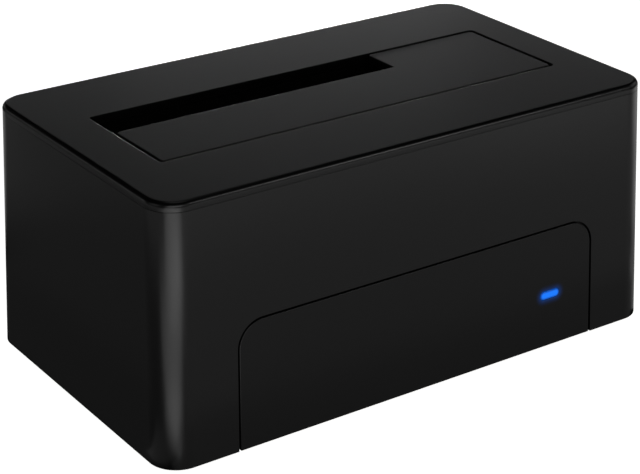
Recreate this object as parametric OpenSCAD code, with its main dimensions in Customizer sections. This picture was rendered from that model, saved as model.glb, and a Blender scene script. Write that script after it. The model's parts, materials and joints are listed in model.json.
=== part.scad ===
// Single-bay hard drive docking station. A drive stands upright in the bay and pushes the sprung flap down.
// Millimetres. X runs along the case, the front faces -Y, Z is up, and the origin lies on the table
// under the middle of the case.

/* [Case] */
// Length of the case at its top edge
top_length = 126; // [124:1:150]
// Depth of the case at its top edge
top_depth = 72.4; // [71:0.2:95]
// Height of the case without its feet
case_height = 57.4; // [55:0.2:75]
// Slope of the walls in degrees, the case being wider at its base
wall_draft = 2.04; // [0.5:0.02:3]
// Radius of the upright corners
corner_radius = 6.6; // [5:0.1:9]
// Thickness of the case walls
wall = 2.4; // [2.2:0.1:3]
// Thickness of the top cover
cover_thickness = 2; // [1.8:0.1:2.6]
// Rounding of the top cover's outer edge
edge_round = 1.15; // [0.6:0.05:1.5]
// Height of the lip under the top cover that sits inside the walls
lip_height = 1.5; // [1:0.1:2.5]
// Thickness of that lip
lip_width = 1.2; // [1:0.1:1.6]
// Gap between the lip and the walls
lip_gap = 0.1; // [0.1:0.05:0.3]
// Thickness of the bottom cover
bottom_thickness = 2; // [1.6:0.1:3]
// Gap between the bottom cover and the walls
bottom_gap = 0.2; // [0.1:0.05:0.4]
// Width of the inner ledge that the bottom cover meets
seat_width = 1.4; // [1:0.1:2]
// Height of that ledge
seat_height = 1.4; // [1:0.1:2]

/* [Bay opening and flap] */
// Length of the opening in the top cover
opening_length = 103.6; // [103:0.2:106]
// Width of the opening in the top cover
opening_width = 30.6; // [30.2:0.2:33]
// Place of the middle of the opening along the case
opening_x = 0.5; // [-1:0.1:1]
// Place of the middle of the opening across the case
opening_y = -1.05; // [-2:0.05:0]
// Radius of the opening's corners
opening_radius = 1; // [0.5:0.1:2]
// Length of the slot for the smaller drive
slot_length = 72.6; // [71:0.2:76]
// Width of the slot for the smaller drive
slot_width = 10.8; // [10:0.1:13]
// Gap between the flap and the opening
flap_gap = 0.8; // [0.6:0.05:1]
// Thickness of the flap
flap_thickness = 1.8; // [1.4:0.1:2]
// How far the flap lies below the top face
flap_sink = 0.05; // [0:0.05:0.3]
// Radius of the flap's corners
flap_radius = 0.8; // [0.4:0.1:1.5]
// Thickness of the ribs under the flap
flap_rib_width = 1; // [0.8:0.1:1.5]
// Depth of the ribs under the flap
flap_rib_depth = 1.2; // [0.8:0.1:1.6]
// Distance of the end ribs from the flap's front edge, clear of the hinge
hinge_clear = 6; // [5:0.5:8]
// How far the stop tabs reach under the cover
stop_reach = 1; // [0.8:0.1:1.2]
// Width of each stop tab
stop_width = 8; // [5:0.5:10]
// Thickness of each stop tab
stop_thickness = 1.2; // [1:0.1:1.6]
// Gap between the stop tabs and the underside of the cover
stop_gap = 0.1; // [0.05:0.05:0.3]

/* [Flap hinge] */
// Radius of the hinge pin
pin_radius = 1; // [0.8:0.05:1.1]
// Radial clearance of the pin in the flap's knuckles
pin_running_clearance = 0.06; // [0.03:0.01:0.1]
// Radial clearance of the pin in the cover's lugs
pin_seat_clearance = 0.02; // [0.01:0.01:0.05]
// Outer radius of the knuckles and lugs
knuckle_radius = 2.2; // [2:0.1:2.4]
// Length of each knuckle
knuckle_length = 4; // [3:0.5:6]
// Length of each lug
lug_length = 3; // [2:0.5:4]
// Side gap between a knuckle and its lug
knuckle_gap = 0.4; // [0.3:0.1:0.6]
// How far the hinge axis lies in front of the opening's edge
hinge_setback = 1.2; // [1:0.1:1.5]
// Gap between the knuckles and the underside of the cover
hinge_headroom = 0.4; // [0.3:0.1:0.6]
// Distance of the outer hinge lugs from the ends of the flap
hinge_end_margin = 3; // [2:0.5:6]
// Distance of the inner hinge lugs from the middle of the flap
hinge_mid_offset = 9; // [8:0.5:12]
// Diameter of the flap spring's wire
spring_wire = 0.6; // [0.5:0.05:0.7]
// Whole turns of the flap spring
spring_turns = 8; // [5:1:9]
// Step of the flap spring's turns along the pin
spring_pitch = 1.15; // [1.1:0.05:1.2]
// Gap between the pin and the flap spring
spring_clearance = 0.35; // [0.3:0.05:0.5]
// Length of the flap spring's legs
spring_leg = 9; // [6:0.5:12]
// Gap between a leg of the flap spring and what it bears on
spring_leg_gap = 0.1; // [0.05:0.05:0.3]

/* [Drive well] */
// Thickness of the well's walls and floor
well_wall = 1.6; // [1.2:0.1:2]
// Gap between the ends of the opening and the well's end walls
well_end_gap = 0.2; // [0.1:0.1:0.5]
// Gap between the hinge and the well's front wall
well_front_gap = 0.65; // [0.5:0.05:1]
// How far the well's rear wall lies behind the opening
well_rear_gap = 1.65; // [1.6:0.05:2]
// Room between the board and the well's floor
well_floor_room = 5.4; // [4.6:0.1:6]
// Width of the ribs that guide a drive
guide_width = 1.4; // [1:0.1:2]
// Gap between the guide ribs and the line of the opening's edge
guide_gap = 0.1; // [0:0.1:0.4]
// Distance of the tops of those ribs below the cover
guide_drop = 8; // [5:0.5:12]
// Distance of the floor rails from the well's end walls
rail_inset = 3; // [2:0.5:6]
// Distance of the floor rails from the well's front wall
rail_front = 6; // [4:0.5:8]
// Distance of the floor rails from the well's rear wall
rail_rear = 4; // [3:0.5:6]
// Height of the floor rails
rail_height = 1; // [0.6:0.1:1.5]
// Size of the screw ears on the well
ear_size = 6.4; // [6:0.2:7]
// Radius of the bosses that the ears meet
ear_boss_radius = 2.8; // [2.4:0.1:3]
// Distance of the ears from the middle of the well
ear_x = 36; // [30:1:38]
// Length of the bosses under the cover that the ears meet
ear_drop = 5; // [4:0.5:6]

/* [Front panel and light] */
// Height of the panel's recess up the front
panel_height = 28.8; // [24:0.2:34]
// Half width of the recess at the base
panel_half_base = 47.7; // [42:0.1:50]
// Half width of the recess at its top
panel_half_top = 46.95; // [41:0.05:50]
// Radius of the recess's upper corners
panel_radius = 6.2; // [3:0.1:9]
// Groove round the panel
panel_groove = 0.45; // [0.3:0.05:0.6]
// Thickness of the panel
panel_thickness = 1.4; // [1:0.1:1.5]
// Width of the panel's snap hooks
hook_width = 5; // [4:0.5:8]
// Thickness of the snap hooks
hook_thickness = 1.2; // [1:0.1:1.6]
// Catch of the snap hooks
hook_catch = 0.8; // [0.6:0.1:1]
// Room round a snap hook in its slot
hook_gap = 0.2; // [0.1:0.05:0.3]
// Play of a snap hook behind the wall
hook_play = 0.15; // [0.1:0.05:0.3]
// Length of the slope on a hook's catch
hook_slope = 1.2; // [0.8:0.1:1.6]
// Distance of the lower hooks from the inner ledge
hook_low_margin = 4; // [3:0.5:6]
// Distance of the upper hooks from the panel's top edge
hook_high_margin = 5; // [4:0.5:8]
// Distance of the hooks from the middle of the panel
hook_x = 28; // [20:1:34]
// Place of the light along the case
light_x = 35.2; // [33:0.1:38]
// Height of the light above the base of the case
light_height = 12.66; // [11:0.02:15]
// Length of the light's window
light_length = 5.3; // [4:0.1:7]
// Height of the light's window
light_width = 1.9; // [1.6:0.1:2.4]
// Gap round the light pipe
light_gap = 0.1; // [0.05:0.05:0.2]
// Distance that the light pipe runs behind the wall before it turns down
pipe_run = 3.2; // [3:0.1:4]
// Width of the light pipe's leg
pipe_leg = 3.4; // [3:0.1:4]
// Gap between the light pipe's leg and the lamp
lamp_gap = 0.2; // [0.1:0.1:0.5]
// Thickness of the collar of the light pipe
collar_thickness = 1; // [0.8:0.1:1.4]
// Width of the collar round the light pipe
collar_width = 1.2; // [1:0.1:1.6]

/* [Board] */
// Length of the circuit board
board_length = 92; // [88:1:96]
// Thickness of the circuit board
board_thickness = 1.6; // [1:0.1:2]
// Gap between the board and the case walls
board_gap = 2; // [1.5:0.1:3]
// Height of the bosses that carry the board
board_standoff = 4; // [3:0.2:6]
// Radius of the bosses that carry the board
board_boss_radius = 3; // [2.6:0.1:3.4]
// Distance of the board screws from the board's edges
board_screw_inset = 4; // [3.5:0.1:5]
// Radius of the board screws
board_screw_radius = 1.2; // [1:0.05:1.3]
// Length of the board screws below the head
board_screw_length = 5; // [4:0.2:5.4]
// Distance from the socket to the row of chips in front of it
chip_row = 18; // [16:1:20]
// Spacing of the chips in that row
chip_spacing = 14; // [12:1:16]
// Side of the bridge chip
bridge_side = 9; // [7:1:12]
// Thickness of the bridge chip
bridge_thickness = 0.9; // [0.8:0.1:1.6]
// Length, width and height of the small leaded chips
small_chip = [4.9, 3.9, 1.6]; // [1:0.1:6]
// Length, width and height of the crystal's can
crystal_size = [11, 4.6, 3.4]; // [3:0.1:12]
// Side of the power inductors
inductor_side = 7; // [5:0.5:8]
// Height of the power inductors
inductor_height = 3.2; // [2:0.2:4]
// Radius of the bulk capacitors
bulk_radius = 3.15; // [2.5:0.05:3.5]
// Height of the bulk capacitors
bulk_height = 8; // [6:0.5:10]
// Length, width and height of the chip capacitors
chip_capacitor = [2, 1.25, 0.9]; // [0.5:0.05:3]
// Spacing of the chip capacitors
capacitor_spacing = 3.4; // [3:0.1:4]
// Distance of the front row of chip capacitors from the middle of the power section
capacitor_front_row = 8; // [7:0.5:9]
// Distance of the rear row of chip capacitors from the middle of the power section
capacitor_rear_row = 16; // [15:0.5:17]
// Length, width and height of the chip resistors
chip_resistor = [1.6, 0.8, 0.5]; // [0.4:0.05:2]
// Spacing of the chip resistors
resistor_spacing = 2.8; // [2.4:0.1:3.2]
// Distance of the row of chip resistors from the socket
resistor_row = 10; // [9:0.5:11]
// Place of the power section to the right of the bay's right quarter
power_shift_x = 1.1; // [0:0.1:2]
// Place of the power section in front of the bay's middle
power_shift_y = 4; // [3:0.5:5]
// Half the distance between the two power inductors
power_spread = 7; // [6:0.5:8]
// Distance of the voltage regulators behind the power inductors
regulator_offset = 10; // [9:0.5:11]
// Length, width and height of the status lamp
lamp_size = [3.2, 2, 1]; // [0.8:0.1:4]

/* [Drive socket] */
// Distance from the opening's end to the middle of the socket
socket_x_offset = 31.1; // [30:0.1:33]
// Distance from the opening's rear edge to the middle of the socket
socket_y_offset = 3.9; // [3.7:0.1:4.4]
// Length of the socket
socket_length = 42.4; // [40:0.2:44]
// Width of the socket
socket_width = 5.6; // [5:0.1:6]
// Height of the socket above the board
socket_height = 11.4; // [10:0.2:14]
// Gap between the socket and the edge of its hole in the well's floor
socket_gap = 0.8; // [0.5:0.1:1]
// Spacing of the contacts
contact_pitch = 1.27; // [1.2:0.01:1.3]
// Width of a contact
contact_width = 0.7; // [0.5:0.05:0.8]
// Thickness of a contact
contact_thickness = 0.3; // [0.2:0.05:0.4]
// Depth of the socket's slots
contact_depth = 6; // [5:0.5:7]
// Width of the socket's slots
contact_slot = 2; // [1.8:0.1:2.2]
// How far the contacts end below the top of the socket
contact_sink = 1; // [0.5:0.1:2]
// Height of the socket's foot on the board
socket_foot = 2; // [1.5:0.1:3]
// How far the socket's foot reaches beyond its ends
socket_foot_reach = 0.6; // [0.4:0.1:0.8]

/* [Rear ports] */
// Place of the data port along the case
usb_x = -17; // [-24:1:-14]
// Depth of the data port
usb_depth = 16; // [15:0.5:17]
// Sheet thickness of the data port
usb_sheet = 0.5; // [0.4:0.05:0.6]
// Half the width of the data port's lower storey
usb_half = 4.25; // [4.2:0.05:4.4]
// Half the width of the data port's upper storey
usb_upper_half = 3; // [2.9:0.05:3.2]
// Height of the data port's shoulders
usb_shoulder = 5.9; // [5.8:0.1:6.1]
// Height where the data port's upper storey begins
usb_neck = 7.2; // [7:0.1:7.4]
// Height of the data port
usb_height = 10; // [9.8:0.1:10.4]
// Depth of the block at the data port's back
usb_block = 6; // [5:0.5:7]
// Gap between that block and the port's sheet
usb_fit = 0.1; // [0.05:0.05:0.15]
// How far the tongues end inside the port's mouth
usb_tongue_sink = 1; // [0.6:0.1:1.4]
// Half the width of the lower tongue
usb_tongue_half = 2.8; // [2.6:0.1:3]
// Bottom of the lower tongue
usb_tongue_z0 = 1.9; // [1.8:0.1:2.1]
// Top of the lower tongue
usb_tongue_z1 = 5.1; // [4.9:0.1:5.2]
// Half the width of the upper tongue
usb_ledge_half = 2.2; // [2.1:0.05:2.4]
// Bottom of the upper tongue
usb_ledge_z0 = 7.8; // [7.6:0.1:8]
// Top of the upper tongue
usb_ledge_z1 = 8.8; // [8.6:0.1:9]
// Place of the power inlet along the case
jack_x = 6; // [4:1:10]
// Width of the power inlet
jack_width = 9; // [8.6:0.1:10]
// Height of the power inlet
jack_height = 11; // [10.6:0.1:12]
// Depth of the power inlet
jack_depth = 14; // [13:0.5:15]
// Height of the power inlet's axis above the board
jack_axis_height = 6.5; // [6.3:0.1:7]
// Radius of the power inlet's bore
jack_bore_radius = 3.15; // [3:0.05:3.3]
// Depth of the power inlet's bore
jack_bore_depth = 9.5; // [9:0.5:10]
// Radius of the power inlet's pin
jack_pin_radius = 1; // [0.9:0.05:1.25]
// Gap between a port and the edge of its cut-out
port_gap = 0.3; // [0.2:0.05:0.5]
// How far the ports lie inside the rear wall's outer face
port_sink = 0.4; // [0.2:0.1:0.8]

/* [Power switch] */
// Place of the button along the case
button_x = 29; // [26:1:32]
// Radius of the button
button_radius = 4.2; // [3.5:0.1:5]
// Travel of the button
button_travel = 1.6; // [1:0.1:2]
// Gap between the button and its hole
button_gap = 0.35; // [0.3:0.05:0.5]
// Depth of the finger dish round the button
dish_depth = 1; // [0.6:0.1:1.2]
// Width of the dish's slope
dish_slope = 1.8; // [1:0.1:2.5]
// Length of the button's cap
button_length = 5; // [4.5:0.1:6]
// Width of the switch
switch_width = 8.4; // [8:0.2:9]
// Height of the switch above the board
switch_height = 10.4; // [10:0.2:11]
// Depth of the switch
switch_depth = 9; // [8:0.5:10]
// Side of the switch's square plunger
plunger_side = 3.2; // [2.8:0.1:3.6]
// Room round the plunger in the switch
plunger_gap = 0.3; // [0.3:0.05:0.4]
// Length of the plunger inside the switch
plunger_in = 4; // [3:0.5:5]
// Length of the plunger inside the button's cap
plunger_grip = 3; // [2:0.5:3.5]
// Room left between the cap and the switch when the button is pressed
switch_room = 1.2; // [0.8:0.1:1.6]
// Diameter of the return spring's wire
return_wire = 0.3; // [0.25:0.05:0.35]
// Turns of the return spring
return_turns = 2; // [2:1:3]

/* [Fasteners and feet] */
// Distance of the cover's posts from the corners of the case
post_inset = 8.5; // [8:0.1:9]
// Radius of the cover's posts
post_radius = 3.5; // [3:0.1:3.8]
// Radius of the case screws
case_screw_radius = 1.3; // [1.1:0.05:1.5]
// Length of the case screws below the head
case_screw_length = 12; // [9:0.5:16]
// Height of the bosses on the bottom cover that meet the posts
post_boss_height = 3; // [2.6:0.1:4]
// Radius of every screw hole beyond its screw
screw_clearance = 0.05; // [0.03:0.01:0.1]
// Radius of every clearance hole beyond its screw
screw_play = 0.25; // [0.2:0.05:0.4]
// Screw head radius as a multiple of the screw radius
screw_head_ratio = 1.9; // [1.7:0.1:2]
// Depth of a case screw's head below the base
screw_head_sink = 0.5; // [0.3:0.1:0.8]
// Room left beyond the tip of a screw
screw_tip_room = 0.5; // [0.3:0.1:1]
// Wall added round a cover post by its boss on the bottom cover
post_boss_margin = 0.5; // [0.3:0.1:1]
// Length of the well's screws below the head
well_screw_length = 5; // [4:0.2:5.6]
// Height of the feet below the case
foot_height = 1.5; // [1:0.1:3]
// Radius of the feet
foot_radius = 5; // [4:0.1:5.4]
// Depth of the recess that a foot is stuck in
foot_recess = 0.6; // [0.4:0.1:1]
// Gap round a foot in its recess
foot_gap = 0.2; // [0.1:0.05:0.3]
// Distance of the feet from the corners of the case, along it
foot_inset_x = 20; // [19:1:26]
// Distance of the feet from the corners of the case, across it
foot_inset_y = 15; // [14.5:0.5:18]
// Width of the vents
vent_width = 2; // [1.5:0.1:3]
// Length of the vents
vent_length = 16; // [10:1:20]
// Spacing of the vents
vent_pitch = 5; // [4:0.5:8]
// Number of vents in a row
vent_count = 12; // [4:1:13]

/* [Hidden] */
$fn = 64;
// Overshoot of a cut past the face that it leaves through
past = 1;

// Levels
base_z = foot_height;
top_z = base_z + case_height;
cover_z = top_z - cover_thickness;
floor_z = base_z + bottom_thickness;
board_z = floor_z + board_standoff;
board_top = board_z + board_thickness;
well_floor_z = board_top + well_floor_room;
well_floor_top = well_floor_z + well_wall;

// Places on the walls are rounded to a micron, so that all faces meet
micron = 0.001;
function to_micron(length) = round(length / micron) * micron;
// Walls: how far a wall has spread from its place at the top edge
function spread(z) = to_micron((top_z - z) * tan(wall_draft));
function side_x(z) = top_length / 2 + spread(z);
function side_y(z) = top_depth / 2 + spread(z);
// Corners: a round that leans with the edge where two walls meet, and its radius in plan
corner_lean = atan(sqrt(2) * tan(wall_draft));
corner_plan = to_micron(corner_radius / cos(wall_draft));
// Overlap of a round with the flats beside it, so that they cross instead of only touching
hair = 5 * micron;

// Opening and flap outline
opening_x0 = opening_x - opening_length / 2;
opening_x1 = opening_x + opening_length / 2;
opening_y0 = opening_y - opening_width / 2;
opening_y1 = opening_y + opening_width / 2;
flap_x0 = opening_x0 + flap_gap;
flap_x1 = opening_x1 - flap_gap;
flap_y0 = opening_y0 + flap_gap;
flap_y1 = opening_y1 - flap_gap;
flap_top = top_z - flap_sink;
flap_under = flap_top - flap_thickness;
slot_x1 = opening_x0 + slot_length;
slot_y0 = opening_y1 - slot_width;
stop_xs = [slot_x1 + stop_width, flap_x1 - stop_width];
stop_tip_y = opening_y1 + stop_reach;
stop_top = cover_z - stop_gap;

// Hinge
hinge_y = opening_y0 - hinge_setback;
hinge_z = cover_z - hinge_headroom - knuckle_radius;
lug_step = (lug_length + knuckle_length) / 2 + knuckle_gap;
outer_lug_xs = [flap_x0 + hinge_end_margin, flap_x1 - hinge_end_margin];
flap_mid_x = (flap_x0 + flap_x1) / 2;
inner_lug_xs = [flap_mid_x - hinge_mid_offset, flap_mid_x + hinge_mid_offset];
lug_xs = concat(outer_lug_xs, inner_lug_xs);
knuckle_xs = [
    outer_lug_xs[0] + lug_step, outer_lug_xs[1] - lug_step,
    inner_lug_xs[0] - lug_step, inner_lug_xs[1] + lug_step
];
pin_x0 = outer_lug_xs[0] - lug_length / 2;
pin_x1 = outer_lug_xs[1] + lug_length / 2;
coil_radius = pin_radius + spring_clearance + spring_wire / 2;
coil_length = (spring_turns + 0.25) * spring_pitch;
coil_x0 = flap_mid_x - coil_length / 2;

// Well
well_x0 = opening_x0 - well_end_gap;
well_x1 = opening_x1 + well_end_gap;
well_y0 = hinge_y - knuckle_radius - well_front_gap;
well_y1 = opening_y1 + well_rear_gap;
ear_z = cover_z - ear_drop;
ear_ys = [well_y0 - well_wall - ear_size / 2, well_y1 + well_wall + ear_size / 2];
ear_points = [for (sx = [-1, 1], y = ear_ys) [opening_x + sx * ear_x, y]];

// Socket
socket_x = opening_x0 + socket_x_offset;
socket_y = opening_y1 - socket_y_offset;
socket_top = board_top + socket_height;
// Contacts of the data part, then of the power part, counted from the middle in contact pitches
data_contacts = [for (i = [0:6]) i - 12.5];
power_contacts = [for (i = [0:14]) i - 1.5];
contact_groups = [data_contacts, power_contacts];
contact_end_room = 1.4;

// Board
board_y0 = -side_y(board_z) + wall + board_gap;
board_y1 = side_y(board_z) - wall - board_gap / 2;
board_screw_points = [
    for (sx = [-1, 1], y = [board_y0 + board_screw_inset, board_y1 - board_screw_inset])
        [sx * (board_length / 2 - board_screw_inset), y]
];
front_zone_y = (board_y0 + well_y0 - well_wall) / 2;

// Screws
post_points = [
    for (sx = [-1, 1], sy = [-1, 1]) [sx * (top_length / 2 - post_inset), sy * (top_depth / 2 - post_inset)]
];
post_foot_z = floor_z + post_boss_height;
head_height_ratio = 1.2;
case_head_height = case_screw_radius * head_height_ratio;
case_head_z = base_z + screw_head_sink + case_head_height;
foot_points = [
    for (sx = [-1, 1], sy = [-1, 1])
        [sx * (top_length / 2 - foot_inset_x), sy * (top_depth / 2 - foot_inset_y)]
];

// Ports
button_z = board_top + switch_height / 2;
port_face = side_y(board_top + jack_height / 2) - port_sink;
jack_z = board_top + jack_axis_height;
usb_z = board_top + usb_sheet;
button_face = side_y(button_z) - dish_depth;
switch_front = button_face - button_length - button_travel - switch_room;

// Colours
black_plastic = [0.05, 0.05, 0.055];
dark_plastic = [0.03, 0.03, 0.032];
steel = [0.75, 0.76, 0.78];
gold = [0.85, 0.68, 0.3];
chip_black = [0.06, 0.06, 0.06];

// Flat shapes

// Rectangle with round corners
module rounded_rect(l, d, r) {
    square([l - 2 * r, d], center = true);
    square([l, d - 2 * r], center = true);
    for (sx = [-1, 1], sy = [-1, 1])
        translate([sx * (l / 2 - r), sy * (d / 2 - r)]) circle(r);
}

// Long hole with round ends
module pill(l, w) {
    square([l - w, w], center = true);
    for (sx = [-1, 1]) translate([sx * (l - w) / 2, 0]) circle(w / 2);
}

// Rectangle between two corners
module span(x0, y0, x1, y1) {
    translate([x0, y0]) square([x1 - x0, y1 - y0]);
}

// Solids and frames

// Trapezium between two heights, with both sides sloping as the walls do
module wall_slopes(half, z0, z1) {
    polygon([
        [-half - spread(z0), z0], [half + spread(z0), z0], [half + spread(z1), z1], [-half - spread(z1), z1]
    ]);
}

// Block with sloping walls and leaning round corners, set in from the case's outer faces
module drafted_block(inset, z0, z1) {
    half_l = top_length / 2 - inset;
    half_d = top_depth / 2 - inset;
    radius = corner_radius - inset;
    // Distance from a wall to the middle of a round, and to the line where the flat meets the round
    axis_in = radius / cos(wall_draft);
    flat_in = axis_in - radius * sin(wall_draft) * tan(wall_draft);
    reach = top_length;
    for (in = [[flat_in, 0], [0, flat_in]]) intersection() {
        into_case(reach, 2 * reach) wall_slopes(half_l - in[0], z0, z1);
        along_x(-reach, 2 * reach) wall_slopes(half_d - in[1], z0, z1);
    }
    for (sx = [-1, 1], sy = [-1, 1]) intersection() {
        translate([sx * (half_l + spread(z0) - axis_in), sy * (half_d + spread(z0) - axis_in), z0])
            rotate(a = corner_lean, v = [sy, -sx, 0]) translate([0, 0, -past])
                cylinder(r = radius + hair, h = (z1 - z0) / cos(corner_lean) + 2 * past);
        translate([-reach, -reach, z0]) cube([2 * reach, 2 * reach, z1 - z0]);
    }
}

// Extrudes a (Y, Z) profile along X from x0
module along_x(x0, length) {
    translate([x0, 0, 0]) rotate([90, 0, 90]) linear_extrude(length) children();
}

// Extrudes an (X, Z) profile along Y, from the face at y towards the front
module into_case(y, length) {
    translate([0, y, 0]) rotate([90, 0, 0]) linear_extrude(length) children();
}

// Plan of the top cover, set in from its rim
module cover_plan(inset) {
    rounded_rect(2 * (side_x(cover_z) - inset), 2 * (side_y(cover_z) - inset), corner_plan - inset);
}

// Rim of the top cover: rods along the sides and rings at the corners
module cover_rim() {
    ring = corner_plan - edge_round;
    mid_x = side_x(cover_z) - corner_plan;
    mid_y = side_y(cover_z) - corner_plan;
    z = top_z - edge_round;
    for (sy = [-1, 1]) along_x(-mid_x, 2 * mid_x) translate([sy * (mid_y + ring), z]) rim_profile();
    for (sx = [-1, 1]) into_case(mid_y, 2 * mid_y) translate([sx * (mid_x + ring), z]) rim_profile();
    for (sx = [-1, 1], sy = [-1, 1]) translate([sx * mid_x, sy * mid_y, z])
        rotate([0, 0, sx > 0 ? 45 * sy - 45 : 135 - 45 * sy])
            rotate_extrude(angle = 90) translate([ring, 0]) rim_profile();
}

// Upper half of a disc on an upright root
module rim_profile() {
    intersection() {
        circle(edge_round);
        span(-edge_round, 0, edge_round, edge_round);
    }
    span(-edge_round, edge_round - cover_thickness, edge_round, 0);
}

// Frame on the front wall: X along the case, Y up the slope, Z out of the wall
module on_front() {
    translate([0, -side_y(base_z), base_z]) rotate([90 - wall_draft, 0, 0]) children();
}

// Recess outline of the front panel, set in by the groove for the panel itself
module panel_outline(inset, below) {
    lean = atan((panel_half_base - panel_half_top) / panel_height);
    top = panel_height - inset;
    radius = panel_radius - inset;
    // Half width at a height, measured to the sloping side
    function half(v) = panel_half_base - inset / cos(lean) - v * tan(lean);
    centre_v = top - radius;
    centre_u = half(centre_v) - radius / cos(lean);
    // The sides run a hair inside the corner circles
    reach = radius - hair;
    tangent_u = centre_u + reach * cos(lean);
    tangent_v = centre_v + reach * sin(lean);
    polygon([
        [-half(-below), -below], [half(-below), -below], [tangent_u, tangent_v], [centre_u, centre_v],
        [centre_u, top], [-centre_u, top], [-centre_u, centre_v], [-tangent_u, tangent_v]
    ]);
    for (s = [-1, 1]) translate([s * centre_u, centre_v]) circle(radius);
}

// One open tube along a list of points, with flat ends
function ring_at(path, i, radius, sides) =
    let(
        last = len(path) - 1,
        ahead = path[min(i + 1, last)] - path[max(i - 1, 0)],
        t = ahead / norm(ahead),
        ref = abs(t[0]) < 0.9 ? [1, 0, 0] : [0, 1, 0],
        u = cross(t, ref) / norm(cross(t, ref)),
        v = cross(t, u)
    )
    [for (k = [0:sides - 1]) path[i] + radius * (cos(360 * k / sides) * u + sin(360 * k / sides) * v)];
module tube(path, radius, sides) {
    count = len(path);
    rings = [for (i = [0:count - 1]) each ring_at(path, i, radius, sides)];
    sides_faces = [
        for (i = [0:count - 2], k = [0:sides - 1])
            let(a = i * sides + k, b = i * sides + (k + 1) % sides)
            each [[a, b, b + sides], [a, b + sides, a + sides]]
    ];
    start_cap = [for (k = [1:sides - 2]) [0, k + 1, k]];
    first = (count - 1) * sides;
    end_cap = [for (k = [1:sides - 2]) [first, first + k, first + k + 1]];
    polyhedron(rings, concat(sides_faces, start_cap, end_cap));
}

// Pan head screw pointing up, with its head's bearing face at the origin and a cross in the head
module screw(radius, length) {
    head = radius * screw_head_ratio;
    head_h = radius * head_height_ratio;
    crown_ratio = 0.8;
    cross_length = head * 1.2;
    cross_width = radius * 0.45;
    difference() {
        union() {
            translate([0, 0, -head_h]) cylinder(r1 = head * crown_ratio, r2 = head, h = head_h);
            cylinder(r = radius, h = length);
        }
        for (turn = [0, 90]) rotate([0, 0, turn])
            translate([-cross_length / 2, -cross_width / 2, -head_h - past])
                cube([cross_length, cross_width, head_h / 2 + past]);
    }
}

// Case

module body_shell() {
    color(black_plastic) difference() {
        union() {
            difference() {
                drafted_block(0, base_z, cover_z);
                drafted_block(wall, base_z - past, cover_z + past);
            }
            difference() {
                drafted_block(wall / 2, floor_z, floor_z + seat_height);
                drafted_block(wall + seat_width, floor_z - past, floor_z + seat_height + past);
            }
        }
        on_front() {
            translate([0, 0, -panel_thickness]) linear_extrude(panel_thickness + past) panel_outline(0, past);
            translate([light_x, light_height / cos(wall_draft), -wall - past]) linear_extrude(wall + 2 * past)
                pill(light_length + 2 * light_gap, light_width + 2 * light_gap);
            hook_slots();
        }
        rear_cut_outs();
    }
}

// Height of the panel's hooks up the wall
hook_vs = [
    bottom_thickness + seat_height + hook_low_margin, panel_height - panel_groove - hook_high_margin
];

module hook_slots() {
    for (sx = [-1, 1], v = hook_vs) translate([sx * hook_x, v, -wall - past])
        linear_extrude(wall + past)
            square([hook_width + 2 * hook_gap, hook_thickness + hook_catch + 2 * hook_gap], center = true);
}

module rear_cut_outs() {
    cut_y = side_y(base_z) + past;
    cut_depth = cut_y - side_y(board_top + jack_height) + wall + past;
    into_case(cut_y, cut_depth) translate([usb_x, usb_z]) usb_profile(usb_sheet + port_gap);
    into_case(cut_y, cut_depth) translate([jack_x, board_top + jack_height / 2])
        square([jack_width + 2 * port_gap, jack_height + 2 * port_gap], center = true);
    into_case(cut_y, cut_depth) translate([button_x, button_z]) circle(button_radius + button_gap);
    dish_r = button_radius + button_gap;
    dish_reach = dish_depth + past;
    translate([button_x, button_face, button_z]) rotate([-90, 0, 0])
        cylinder(r1 = dish_r, r2 = dish_r + dish_slope * dish_reach / dish_depth, h = dish_reach);
}

module top_cover() {
    color(black_plastic) difference() {
        union() {
            translate([0, 0, cover_z]) linear_extrude(cover_thickness) cover_plan(edge_round);
            cover_rim();
            cover_lip();
            for (p = post_points) translate([p[0], p[1], post_foot_z])
                cylinder(r = post_radius, h = cover_z - post_foot_z + cover_thickness / 2);
            for (p = ear_points) translate([p[0], p[1], ear_z])
                cylinder(r = ear_boss_radius, h = ear_drop + cover_thickness / 2);
            for (x = lug_xs) along_x(x - lug_length / 2, lug_length) {
                translate([hinge_y, hinge_z]) circle(knuckle_radius);
                span(
                    hinge_y - knuckle_radius, hinge_z, hinge_y + hinge_setback, cover_z + cover_thickness / 2
                );
            }
        }
        translate([opening_x, opening_y, cover_z - past]) linear_extrude(cover_thickness + 2 * past)
            rounded_rect(opening_length, opening_width, opening_radius);
        translate([pin_x0 - past, hinge_y, hinge_z]) rotate([0, 90, 0])
            cylinder(r = pin_radius + pin_seat_clearance, h = pin_x1 - pin_x0 + 2 * past);
        for (p = post_points) translate([p[0], p[1], post_foot_z - past])
            cylinder(r = case_screw_radius + screw_clearance, h = case_screw_length + past);
        ear_hole = well_screw_length - well_wall + screw_tip_room;
        for (p = ear_points) translate([p[0], p[1], ear_z - past])
            cylinder(r = board_screw_radius + screw_clearance, h = ear_hole + past);
    }
}

// Lip under the cover, just inside the walls
module cover_lip() {
    translate([0, 0, cover_z - lip_height]) linear_extrude(lip_height + cover_thickness / 4) difference() {
        cover_plan(wall + lip_gap);
        cover_plan(wall + lip_gap + lip_width);
    }
}

module front_panel() {
    color(dark_plastic) on_front() difference() {
        union() {
            translate([0, 0, -panel_thickness]) linear_extrude(panel_thickness)
                panel_outline(panel_groove, 0);
            for (sx = [-1, 1], v = hook_vs) translate([sx * hook_x, v - hook_catch / 2, -panel_thickness])
                panel_hook();
        }
        translate([light_x, light_height / cos(wall_draft), -panel_thickness - past])
            linear_extrude(panel_thickness + 2 * past)
                pill(light_length + 2 * light_gap, light_width + 2 * light_gap);
    }
}

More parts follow.
